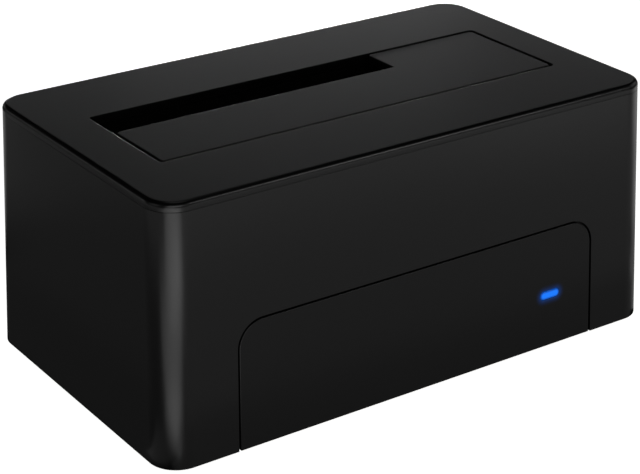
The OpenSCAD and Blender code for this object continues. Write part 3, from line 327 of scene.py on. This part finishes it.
@dataclass(frozen=True)
class LightWindow:
    """The pill-shaped window of the status light in the front.

    Attributes:
        middle: Middle of the window, in millimetres.
        length_mm: Length of the pill.
        width_mm: Width of the pill.
        glow: Colour of the light, as sRGB hex.
    """

    middle: Point = (35.2, 0, 14.16)
    length_mm: float = 5.3
    width_mm: float = 1.9
    glow: str = "#0a78ff"

    def distance(self, tree: bpy.types.NodeTree) -> bpy.types.NodeSocket:
        """Measures how far a point of the front is from the pill's middle line.

        Args:
            tree: Tree of the material.

        Returns:
            The socket with the distance in metres.
        """
        straight = (self.length_mm - self.width_mm) / 2 * MM
        vector = add_node(tree, "ShaderNodeTexCoord").outputs["Object"]
        for operation, value in (
                ("SUBTRACT", metres(self.middle)), ("MULTIPLY", (1, 0, 1)), ("ABSOLUTE", (0, 0, 0)),
                ("SUBTRACT", (straight, 0, 0)), ("MAXIMUM", (0, 0, 0))):
            step = add_node(tree, "ShaderNodeVectorMath", {0: vector, 1: value}, operation=operation)
            vector = step.outputs["Vector"]
        return add_node(tree, "ShaderNodeVectorMath", {0: vector}, operation="LENGTH").outputs["Value"]

    def shine(self, tree: bpy.types.NodeTree, shader: bpy.types.Node, reach: tuple[float, float],
              strength: float, fall: float) -> None:
        """Lets a surface glow, fading to nothing between two distances from the pill's middle line.

        Args:
            tree: Tree of the material.
            shader: The material's shader, which takes the glow.
            reach: The two distances, in millimetres.
            strength: Strength of the glow at the first of them.
            fall: How steeply it fades, as a power.
        """
        share = add_node(tree, "ShaderNodeMapRange", {
            "Value": self.distance(tree), "From Min": reach[0] * MM, "From Max": reach[1] * MM,
            "To Min": 1.0, "To Max": 0.0})
        fade = add_node(tree, "ShaderNodeMath", {0: share.outputs["Result"], 1: fall}, operation="POWER")
        glow = add_node(tree, "ShaderNodeMath", {0: fade.outputs["Value"], 1: strength}, operation="MULTIPLY")
        shader.inputs["Emission Color"].default_value = linear(self.glow)
        tree.links.new(glow.outputs["Value"], shader.inputs["Emission Strength"])


STATUS_WINDOW = LightWindow()


@dataclass(frozen=True)
class LitAcrylic(Finish):
    """Polished acrylic that carries a lamp's light to its window and glows there.

    Attributes:
        core_mm: Distance from the window's middle line at which the glow begins to fade.
        reach_mm: Distance at which it would be gone.
        strength: Strength of the light in the middle.
        fall: How steeply it fades, as a power.
    """

    core_mm: float = 0.45
    reach_mm: float = 1.3
    strength: float = 0.95
    fall: float = 1.6

    def weave(self, tree: bpy.types.NodeTree, shader: bpy.types.Node) -> None:
        """Glow that fades towards the rim of the window."""
        self.grain(tree, shader)
        shader.inputs["Base Color"].default_value = linear(self.colour)
        STATUS_WINDOW.shine(tree, shader, (self.core_mm, self.reach_mm), self.strength, self.fall)


@dataclass(frozen=True)
class FasciaPlastic(MouldedPlastic):
    """Moulded plastic with a painted glow round the window of the status light.

    Attributes:
        halo_mm: Width of the faint painted ring of glow round the window.
        halo: Strength of the ring at the window's rim.
        halo_fall: How steeply it fades, as a power.
    """

    halo_mm: float = 1.9
    halo: float = 0.13
    halo_fall: float = 2.6

    def weave(self, tree: bpy.types.NodeTree, shader: bpy.types.Node) -> None:
        """The grain of the moulding, and the painted ring of glow."""
        super().weave(tree, shader)
        rim = STATUS_WINDOW.width_mm / 2
        # Painted glow: the fascia itself shines round the window, though it is no lamp
        STATUS_WINDOW.shine(tree, shader, (rim, rim + self.halo_mm), self.halo, self.halo_fall)


# Matte black ABS: nearly all of the light that the eye sees comes from its broad, weak gloss.
# Its grain is drawn coarser than a real tool leaves it, so that it can show.
CASE_ABS = MouldedPlastic(
    "abs_spark_eroded_black", "case_plastic", "#050505", roughness=0.28,
    grain_mm=0.3, depth_mm=0.0012, spread=0.0)
# The flap comes from the same pellets and tool finish as the case
FLAP_ABS = MouldedPlastic(
    "abs_spark_eroded_flap_black", "flap_plastic", "#050505", roughness=0.28, grain_mm=0.3, depth_mm=0.0012,
    spread=0.0)
# The fascia is a deeper black, so its outline shows against the case; round the light's window it carries a
# painted glow
PANEL_ABS = FasciaPlastic(
    "abs_spark_eroded_deep_black", "panel_plastic", "#040404", roughness=0.36, grain_mm=0.3, depth_mm=0.0012,
    spread=0.01, ior=1.46)
# The well is dull, so that the bay looks like a hole
WELL_ABS = MouldedPlastic(
    "abs_moulded_dull_black", "well_plastic", "#040404", roughness=0.85,
    grain_mm=0.5, depth_mm=0.004, gloss=0.06)
# Glass filled nylon of sockets: black, a little lighter than the case
SOCKET_NYLON = MouldedPlastic(
    "nylon_moulded_black", "socket_plastic", "#121213", roughness=0.45, grain_mm=0.4, depth_mm=0.003)
# Blue nylon inside the data port, with a soft sheen
PORT_NYLON = MouldedPlastic(
    "nylon_moulded_blue", "port_plastic", "#1747a8", roughness=0.4,
    grain_mm=0.4, depth_mm=0.003, hollow_shade="#020a1e")
# Off-white acetal of the switch's plunger, which looks a little waxy
PLUNGER_ACETAL = MouldedPlastic(
    "acetal_moulded_white", "plunger_plastic", "#d9d7cd", roughness=0.35, grain_mm=0.4, depth_mm=0.002,
    hollow_shade="#45443f")
# The button is polished, so it catches the light against the matte wall
BUTTON_ABS = MouldedPlastic(
    "abs_polished_black", "button_plastic", "#1a1a1b", roughness=0.22, grain_mm=0.6, depth_mm=0.001)
# Ground steel of pins, with fine rings round them
PIN_STEEL = WorkedMetal(
    "steel_ground", "steel", "#c9cacc", roughness=0.25,
    grain_mm=0.15, depth_mm=0.001, spread=0.06, metallic=1.0,
    worn="#9a9b9e", stretch=(1, 0.1, 0.1))
# Spring wire: drawn, dull grey with streaks
SPRING_STEEL = WorkedMetal(
    "steel_drawn_wire", "spring_steel", "#aeb0b3", roughness=0.32, grain_mm=0.2, depth_mm=0.001, spread=0.08,
    metallic=1.0, worn="#7d7f83")
# Black zinc on the screws: dark, with a soft metallic gloss
SCREW_STEEL = WorkedMetal(
    "steel_black_zinc", "screw_steel", "#3a3a3d", roughness=0.35, grain_mm=0.25, depth_mm=0.002, spread=0.08,
    metallic=1.0, worn="#242427", stretch=(1, 1, 1))
# Tin plate of the port's shell: bright, rolled along its depth
TIN_PLATE = WorkedMetal(
    "steel_tin_plate", "tin_plate", "#d5d6d8", roughness=0.28, grain_mm=0.25, depth_mm=0.001, spread=0.07,
    metallic=1.0, worn="#b3b4b7", stretch=(1, 0.05, 1))
# Gold flash on contacts: warm and bright
GOLD_FLASH = WorkedMetal(
    "bronze_gold_flash", "gold_plate", "#e3bd6a", roughness=0.25, grain_mm=0.15, depth_mm=0.0005, spread=0.06,
    metallic=1.0, worn="#c79a44")
# Green coat on the board, smooth with a satin gloss
BOARD_RESIST = SolderResist(
    "laminate_green_resist", "board_laminate", "#0f4a27", roughness=0.3, grain_mm=0.3, depth_mm=0.002)
# Moulded epoxy of chips: dark grey and matte
CHIP_EPOXY = MouldedPlastic(
    "epoxy_moulded_chip", "chip_epoxy", "#1f1f20", roughness=0.6, grain_mm=0.1, depth_mm=0.003)
# Fired ceramic of chip capacitors: tan and satin
CHIP_CERAMIC = MouldedPlastic(
    "ceramic_fired_tan", "chip_ceramic", "#a98a63", roughness=0.45,
    grain_mm=0.1, depth_mm=0.002, hollow_shade="#3a2d1d")
# Pressed ferrite of inductors: grey and grainy
FERRITE = MouldedPlastic(
    "ferrite_pressed", "ferrite", "#4a4a4d", roughness=0.55, grain_mm=0.25, depth_mm=0.01, hollow_shade="#141415")
# Drawn aluminium cans of capacitors and of the crystal, with streaks up their sides
CAN_ALUMINIUM = WorkedMetal(
    "aluminium_drawn_can", "capacitor_can", "#d6d7d9", roughness=0.3,
    grain_mm=0.2, depth_mm=0.001, spread=0.06,
    metallic=1.0, worn="#b9babd", stretch=(1, 1, 0.05))
# Clear resin over the lamp, smooth and pale
LAMP_RESIN = MouldedPlastic(
    "epoxy_cast_clear", "lamp_resin", "#e6e7e2", roughness=0.2, grain_mm=0.5, depth_mm=0.001, hollow_shade="#5d5d59")
# Acrylic light pipe: polished, and lit from behind, so its window glows
LIGHT_ACRYLIC = LitAcrylic(
    "acrylic_polished_lit", "lit_acrylic", "#0a3f9e", roughness=0.15, grain_mm=0.5, depth_mm=0.0005, ior=1.49)
# Rubber feet: dead black and dusty
FOOT_RUBBER = MouldedPlastic(
    "rubber_moulded_black", "foot_rubber", "#151515", roughness=0.85, grain_mm=0.35, depth_mm=0.01)


# Shaping

# Corners closer than this become one
WELD_MM = 0.002
# Faces that meet at less than this become one
FLAT_DEG = 0.4
# Edges that turn by more than this are rounded, in this many steps
SHARP_DEG = 35.0
EDGE_STEPS = 3
# Weight of large faces in the shading, at its highest
FACE_WEIGHT = 100


class Edge(Enum):
    """How far a solid's sharp edges are rounded, in millimetres."""

    CUT = 0.04
    CRISP = 0.1
    BROKEN = 0.18


@dataclass(frozen=True)
class Coat:
    """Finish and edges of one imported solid.

    Attributes:
        node: Name of the solid.
        finish: Its finish.
        edge: How its edges are rounded.
    """

    node: str
    finish: Finish
    edge: Edge = Edge.CRISP

    def apply(self) -> None:
        """Dresses the solid with modifiers and a material, and leaves its mesh as it is."""
        piece = frame["nodes"][self.node]
        piece.data.materials.clear()
        piece.data.materials.append(self.finish.material())
        soften(piece, self.edge)
        LOG.info("%s: %s for %s", self.node, self.finish.name, self.finish.slot)


def soften(piece: bpy.types.Object, edge: Edge) -> None:
    """Rounds the sharp edges of a piece with modifiers.

    Args:
        piece: Piece to round.
        edge: Radius of its edges.
    """
    joined = piece.modifiers.new("joined corners", "WELD")
    joined.merge_threshold = WELD_MM * MM
    flat = piece.modifiers.new("whole faces", "DECIMATE")
    flat.decimate_type = "DISSOLVE"
    flat.angle_limit = math.radians(FLAT_DEG)
    rounded = piece.modifiers.new("round edges", "BEVEL")
    rounded.width = edge.value * MM
    rounded.segments = EDGE_STEPS
    rounded.limit_method = "ANGLE"
    rounded.angle_limit = math.radians(SHARP_DEG)
    rounded.use_clamp_overlap = False
    even = piece.modifiers.new("even shading", "WEIGHTED_NORMAL")
    even.weight = FACE_WEIGHT
    even.keep_sharp = False


def wire(name: str, path: list[Vector], diameter_mm: float, sides: int = 12) -> bpy.types.Object:
    """Makes a wire along a path, with flat ends.

    Args:
        name: Name of the piece.
        path: Points of its centre line, in millimetres.
        diameter_mm: Diameter of the wire.
        sides: Sides of its section.

    Returns:
        The piece.
    """
    shape = bmesh.new()
    rings = []
    across = Vector((1, 0, 0))
    for index, point in enumerate(path):
        ahead = path[min(index + 1, len(path) - 1)] - path[max(index - 1, 0)]
        along = ahead.normalized()
        across = (across - along * across.dot(along)).normalized()
        beside = along.cross(across)
        turns = [2 * math.pi * side / sides for side in range(sides)]
        ring = [point + (across * math.cos(a) + beside * math.sin(a)) * diameter_mm / 2 for a in turns]
        rings.append([shape.verts.new(corner * MM) for corner in ring])
    for low, high in zip(rings, rings[1:]):
        for side in range(sides):
            nxt = (side + 1) % sides
            shape.faces.new((low[side], low[nxt], high[nxt], high[side])).smooth = True
    shape.faces.new(reversed(rings[0]))
    shape.faces.new(rings[-1])
    bmesh.ops.recalc_face_normals(shape, faces=shape.faces)
    mesh = bpy.data.meshes.new(name)
    shape.to_mesh(mesh)
    shape.free()
    piece = bpy.data.objects.new(name, mesh)
    bpy.context.scene.collection.objects.link(piece)
    return piece


# Sub-assemblies


@dataclass
class Assembly:
    """Pieces that go together on the bench as one group.

    Attributes:
        coats: Finishes of its solids.
    """

    coats: tuple[Coat, ...]

    def build(self) -> None:
        """Makes what the solids don't hold; most groups have nothing to add."""

    def dress(self) -> None:
        """Gives each solid its finish."""
        for coat in self.coats:
            coat.apply()


@dataclass
class Case(Assembly):
    """The case: shell, covers, fascia, light, feet and screws."""

    coats: tuple[Coat, ...] = (
        Coat("body_shell", CASE_ABS, Edge.CUT),
        Coat("top_cover", CASE_ABS, Edge.CRISP),
        Coat("bottom_cover", CASE_ABS, Edge.BROKEN),
        Coat("front_panel", PANEL_ABS, Edge.BROKEN),
        Coat("light_pipe", LIGHT_ACRYLIC, Edge.CRISP),
        Coat("rubber_feet", FOOT_RUBBER, Edge.CRISP),
        Coat("case_screws", SCREW_STEEL, Edge.CRISP),
    )


@dataclass
class Bay(Assembly):
    """The bay: the well that a drive stands in and the socket at its floor."""

    coats: tuple[Coat, ...] = (
        Coat("drive_well", WELL_ABS, Edge.BROKEN),
        Coat("well_screws", SCREW_STEEL, Edge.CUT),
        Coat("sata_housing", SOCKET_NYLON, Edge.CRISP),
        Coat("sata_contacts", GOLD_FLASH, Edge.CUT),
    )


@dataclass
class FlapHinge(Assembly):
    """The flap with its pin and the torsion spring that shuts it.

    Attributes:
        wire_mm: Diameter of the spring's wire.
        coil_radius_mm: Radius of the coil at the middle of the wire.
        turns: Turns of the coil.
        steps_per_turn: Points of the path in one turn.
    """

    coats: tuple[Coat, ...] = (
        Coat("drive_flap", FLAP_ABS, Edge.BROKEN),
        Coat("flap_hinge_pin", PIN_STEEL, Edge.CRISP),
    )
    wire_mm: float = 0.6
    coil_radius_mm: float = 1.65
    turns: float = 8.25
    steps_per_turn: int = 28

    def path(self) -> list[Vector]:
        """Returns the spring's centre line: up the fixed leg, round the pin and out under the flap."""
        joint = next(j for j in frame["joints"] if j["name"] == "flap_swing")
        axis = Vector(joint["pos_m"]) / MM
        low, high = box_mm("flap_spring")
        half = self.wire_mm / 2
        start_x, end_x = low.x + half, high.x - half
        steps = round(self.turns * self.steps_per_turn)
        points = [Vector((start_x, low.y + half, low.z))]
        for step in range(steps + 1):
            angle = math.pi - 2 * math.pi * step / self.steps_per_turn
            points.append(Vector((
                start_x + (end_x - start_x) * step / steps,
                axis.y + self.coil_radius_mm * math.cos(angle),
                axis.z + self.coil_radius_mm * math.sin(angle))))
        points.append(Vector((end_x, high.y, high.z - half)))
        return points

    def build(self) -> None:
        """Makes the spring in its resting shape, in place of the imported solid."""
        path = self.path()
        spring = wire("flap_torsion_spring", path, self.wire_mm)
        spring.data.materials.append(SPRING_STEEL.material())
        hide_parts("flap_spring")
        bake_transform(spring)
        LOG.info("%s: %s", spring.name, SPRING_STEEL.name)


@dataclass
class Board(Assembly):
    """The circuit board with all that is soldered to it."""

    coats: tuple[Coat, ...] = (
        Coat("main_board", BOARD_RESIST, Edge.CUT),
        Coat("bridge_chip", CHIP_EPOXY, Edge.CUT),
        Coat("flash_chip", CHIP_EPOXY, Edge.CUT),
        Coat("voltage_regulators", CHIP_EPOXY, Edge.CUT),
        Coat("crystal_can", CAN_ALUMINIUM, Edge.BROKEN),
        Coat("power_inductors", FERRITE, Edge.CRISP),
        Coat("bulk_capacitors", CAN_ALUMINIUM, Edge.CRISP),
        Coat("chip_capacitors", CHIP_CERAMIC, Edge.CUT),
        Coat("chip_resistors", CHIP_EPOXY, Edge.CUT),
        Coat("status_led", LAMP_RESIN, Edge.CUT),
        Coat("pcb_screws", SCREW_STEEL, Edge.CUT),
    )


@dataclass
class Ports(Assembly):
    """The data port and the power inlet in the rear wall."""

    coats: tuple[Coat, ...] = (
        Coat("usb_shell", TIN_PLATE, Edge.CRISP),
        Coat("usb_insert", PORT_NYLON, Edge.CRISP),
        Coat("usb_contacts", GOLD_FLASH, Edge.CUT),
        Coat("dc_jack_body", SOCKET_NYLON, Edge.CRISP),
        Coat("dc_jack_pin", PIN_STEEL, Edge.CRISP),
        Coat("dc_jack_leaf", GOLD_FLASH, Edge.CUT),
    )


@dataclass
class PowerSwitch(Assembly):
    """The push switch in the rear wall with its cap, plunger and return spring.

    Attributes:
        wire_mm: Diameter of the return spring's wire.
        turns: Turns of the return spring.
        steps_per_turn: Points of the path in one turn.
        pressed_share: Length of the pressed spring as a share of its length at rest; not used.
    """

    coats: tuple[Coat, ...] = (
        Coat("switch_body", SOCKET_NYLON, Edge.CRISP),
        Coat("switch_plunger", PLUNGER_ACETAL, Edge.CRISP),
        Coat("power_button", BUTTON_ABS, Edge.CRISP),
    )
    wire_mm: float = 0.3
    turns: int = 2
    steps_per_turn: int = 28
    pressed_share: float = 0.4

    def build(self) -> None:
        """Makes the return spring at rest and hangs it on the dock."""
        low, high = box_mm("switch_spring")
        middle = (low + high) / 2
        half = self.wire_mm / 2
        radius = (high.x - low.x) / 2 - half
        steps = self.turns * self.steps_per_turn
        path = []
        for step in range(steps + 1):
            angle = 2 * math.pi * step / self.steps_per_turn
            path.append(Vector((
                middle.x + radius * math.cos(angle),
                low.y + half + (high.y - low.y - self.wire_mm) * step / steps,
                middle.z + radius * math.sin(angle))))
        spring = wire("switch_return_spring", path, self.wire_mm)
        spring.data.materials.append(SPRING_STEEL.material())
        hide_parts("switch_spring")
        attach(spring, "dock")
        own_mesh(spring)
        LOG.info("%s: %s", spring.name, SPRING_STEEL.name)


# Studio


@dataclass(frozen=True)
class Softbox:
    """A soft rectangular studio light, out of the camera's sight.

    Attributes:
        name: What it lights.
        watts: Its power.
        size: Width and height, in millimetres.
        place: Middle of the light, in millimetres.
        aim: Point that it faces, in millimetres.
    """

    name: str
    watts: float
    size: tuple[float, float]
    place: Point
    aim: Point = (0, 0, 30)

    def turn(self) -> Quaternion:
        """Returns the turn that makes the light face its aim."""
        return (Vector(self.aim) - Vector(self.place)).to_track_quat("-Z", "Y")

    def build(self) -> None:
        """Hangs the light."""
        data = bpy.data.lights.new(self.name, "AREA")
        data.shape = "RECTANGLE"
        data.size = self.size[0] * MM
        data.size_y = self.size[1] * MM
        data.energy = self.watts
        lamp = bpy.data.objects.new(self.name, data)
        lamp.location = metres(self.place)
        lamp.rotation_mode = "QUATERNION"
        lamp.rotation_quaternion = self.turn()
        lamp.visible_camera = False
        bpy.context.scene.collection.objects.link(lamp)


@dataclass(frozen=True)
class TableGlow(Softbox):
    """Light that a patch of the white table throws up at the object.

    Attributes:
        turn_deg: Turn of the patch on the table.
    """

    turn_deg: float = 0.0

    def turn(self) -> Quaternion:
        """Returns the turn that makes the light face up."""
        return Quaternion((0, 0, 1), math.radians(self.turn_deg)) @ Quaternion((1, 0, 0), math.pi)


@dataclass
class Studio:
    """Pale floor, soft lights and the camera.

    Attributes:
        lights: The soft lights.
        azimuth_deg: Direction of the camera round the object, from the front.
        elevation_deg: Height of the camera above the horizon.
        distance_mm: Distance from the camera to the point that it looks at.
        aim: That point, in millimetres.
        lens_mm: Focal length of the lens.
        sensor_mm: Width of the sensor.
        near_mm: Nearest distance that the camera sees.
        far_mm: Farthest distance that it sees.
        floor_mm: Side of the floor.
        floor_colour: Colour of the floor, as sRGB hex.
        floor_roughness: Roughness of the floor.
        floor_lift: Light that the floor gives by itself, as a light table does.
        sky: Strength of the even light from all round.
        sky_colour: Its colour, as sRGB hex.
    """

    lights: tuple[Softbox, ...]
    azimuth_deg: float = -34.53
    elevation_deg: float = 24.49
    distance_mm: float = 440.0
    aim: Point = (-0.56, 1.22, 22.88)
    lens_mm: float = 108.5
    sensor_mm: float = 36.0
    near_mm: float = 10.0
    far_mm: float = 50000.0
    floor_mm: float = 6000.0
    floor_colour: str = "#fcfcfb"
    floor_roughness: float = 0.9
    floor_lift: float = 1.0
    sky: float = 0.004
    sky_colour: str = "#ffffff"

    def build(self) -> None:
        """Sets up the studio."""
        self.build_camera()
        self.build_floor()
        self.build_sky()
        for light in self.lights:
            light.build()
        bpy.context.scene.view_settings.view_transform = "Standard"
        bpy.context.scene.view_settings.look = "None"

    def build_camera(self) -> None:
        """Puts the camera at the photograph's viewing angle."""
        azimuth = math.radians(self.azimuth_deg)
        elevation = math.radians(self.elevation_deg)
        level = math.cos(elevation)
        back = Vector((math.sin(azimuth) * level, -math.cos(azimuth) * level, math.sin(elevation)))
        data = bpy.data.cameras.new("camera")
        data.sensor_width = self.sensor_mm
        data.lens = self.lens_mm
        data.clip_start = self.near_mm * MM
        data.clip_end = self.far_mm * MM
        camera = bpy.data.objects.new("camera", data)
        camera.location = metres(self.aim) + back * self.distance_mm * MM
        camera.rotation_mode = "QUATERNION"
        camera.rotation_quaternion = (-back).to_track_quat("-Z", "Y")
        bpy.context.scene.collection.objects.link(camera)
        bpy.context.scene.camera = camera

    def build_floor(self) -> None:
        """Lays the pale floor under the feet."""
        shape = bmesh.new()
        bmesh.ops.create_grid(shape, x_segments=2, y_segments=2, size=self.floor_mm * MM / 2)
        mesh = bpy.data.meshes.new("studio_floor")
        shape.to_mesh(mesh)
        shape.free()
        floor = bpy.data.objects.new("studio_floor", mesh)
        bpy.context.scene.collection.objects.link(floor)
        paint = bpy.data.materials.new("paper_matte_white")
        paint.use_nodes = True
        shader = paint.node_tree.nodes["Principled BSDF"]
        shader.inputs["Base Color"].default_value = linear(self.floor_colour)
        shader.inputs["Roughness"].default_value = self.floor_roughness
        shader.inputs["Emission Color"].default_value = linear(self.floor_colour)
        shader.inputs["Emission Strength"].default_value = self.floor_lift
        mesh.materials.append(paint)
        floor.visible_diffuse = False
        floor.visible_glossy = False

    def build_sky(self) -> None:
        """Sets the even light from all round."""
        world = bpy.data.worlds.new("studio_sky")
        world.use_nodes = True
        background = world.node_tree.nodes["Background"]
        background.inputs["Color"].default_value = linear(self.sky_colour)
        background.inputs["Strength"].default_value = self.sky
        bpy.context.scene.world = world


# The plastic is so dark that the eye sees only what it mirrors:
# the backdrop and the boxes in the top and its edges, the lit table in the walls.
STUDIO_LIGHTS = (
    Softbox("backdrop_low", 2.87, (200, 60), (436, 671, 44)),
    Softbox("backdrop_middle", 0.086, (200, 72), (434, 668, 107)),
    Softbox("backdrop_high", 0.018, (200, 96), (426, 656, 196)),
    Softbox("backdrop_left", 0.25, (180, 120), (273, 750, 86)),
    Softbox("backdrop_right", 0.24, (180, 120), (574, 554, 86)),
    Softbox("rear_left_box", 0.068, (300, 90), (-518, 596, 155)),
    Softbox("front_right_low", 0.12, (300, 90), (411, -685, 72)),
    Softbox("front_right_top", 0.38, (240, 130), (408, -542, 454)),
    Softbox("corner_top", 0.36, (400, 160), (-231, -434, 229)),
    Softbox("corner_low", 0.06, (240, 80), (-354, -393, 58)),
    Softbox("right_box", 0.2, (560, 300), (720, -60, 330)),
    Softbox("rear_box", 0.043, (300, 130), (-120, 710, 150)),
    Softbox("left_box", 0.15, (420, 300), (-720, 40, 330)),
    Softbox("front_box", 0.11, (300, 300), (0, -720, 330)),
    Softbox("top_box", 0.1, (260, 260), (110, 160, 800)),
    Softbox("rear_top_box", 0.02, (160, 160), (260, 375, 655)),
    TableGlow("table_before_corner", 0.06, (64, 90), (-142, -174, 1), turn_deg=-30),
    TableGlow("table_left_of_corner", 0.043, (60, 120), (-177, -146, 1), turn_deg=-46),
    TableGlow("table_right_of_corner", 0.045, (60, 120), (-101, -190, 1), turn_deg=-14),
    TableGlow("table_at_corner", 0.036, (100, 120), (-120, -110, 1)),
    TableGlow("table_at_corner_foot", 0.0019, (31, 31), (-79.5, -59.5, 1)),
    TableGlow("table_before_front", 0.184, (310, 340), (95, -330, 1)),
    TableGlow("table_right_of_front", 0.067, (280, 300), (260, -150, 1)),
    TableGlow("table_at_front", 0.0138, (180, 100), (30, -110, 1)),
    TableGlow("table_at_front_foot", 0.0018, (166, 21.5), (17, -49.25, 1)),
    TableGlow("table_at_front_end", 0.0005, (36, 18), (-48, -49, 1)),
    TableGlow("table_before_left", 0.18, (410, 400), (-395, 100, 1)),
    TableGlow("table_at_left", 0.0046, (104, 200), (-138, 50, 1)),
    TableGlow("table_at_left_foot", 0.0004, (20.5, 118), (-75.75, 21, 1)),
    TableGlow("table_at_left_end", 0.00012, (16.5, 18), (-75.75, -35, 1)),
    TableGlow("table_behind", 0.024, (600, 500), (0, 350, 1)),
    TableGlow("table_before_rear", 0.2, (300, 340), (170, 330, 1)),
    TableGlow("table_at_rear", 0.02, (150, 100), (35, 110, 1)),
    TableGlow("table_at_rear_foot", 0.003, (140, 21.5), (10, 49.25, 1)),
    TableGlow("table_left_of_rear", 0.0186, (74, 200), (-55, 146, 1), turn_deg=35),
    TableGlow("table_before_right", 0.28, (410, 400), (395, 100, 1)),
    TableGlow("table_at_right", 0.02, (104, 200), (138, 50, 1)),
    TableGlow("table_at_right_foot", 0.0024, (20.5, 118), (75.75, 21, 1)),
)


def main() -> None:
    """Builds the studio and every sub-assembly in order."""
    logging.basicConfig(level=logging.INFO, format="%(message)s")
    Studio(STUDIO_LIGHTS).build()
    for group in (Case(), Bay(), FlapHinge(), Board(), Ports(), PowerSwitch()):
        group.build()
        group.dress()


if __name__ == "__main__":
    main()
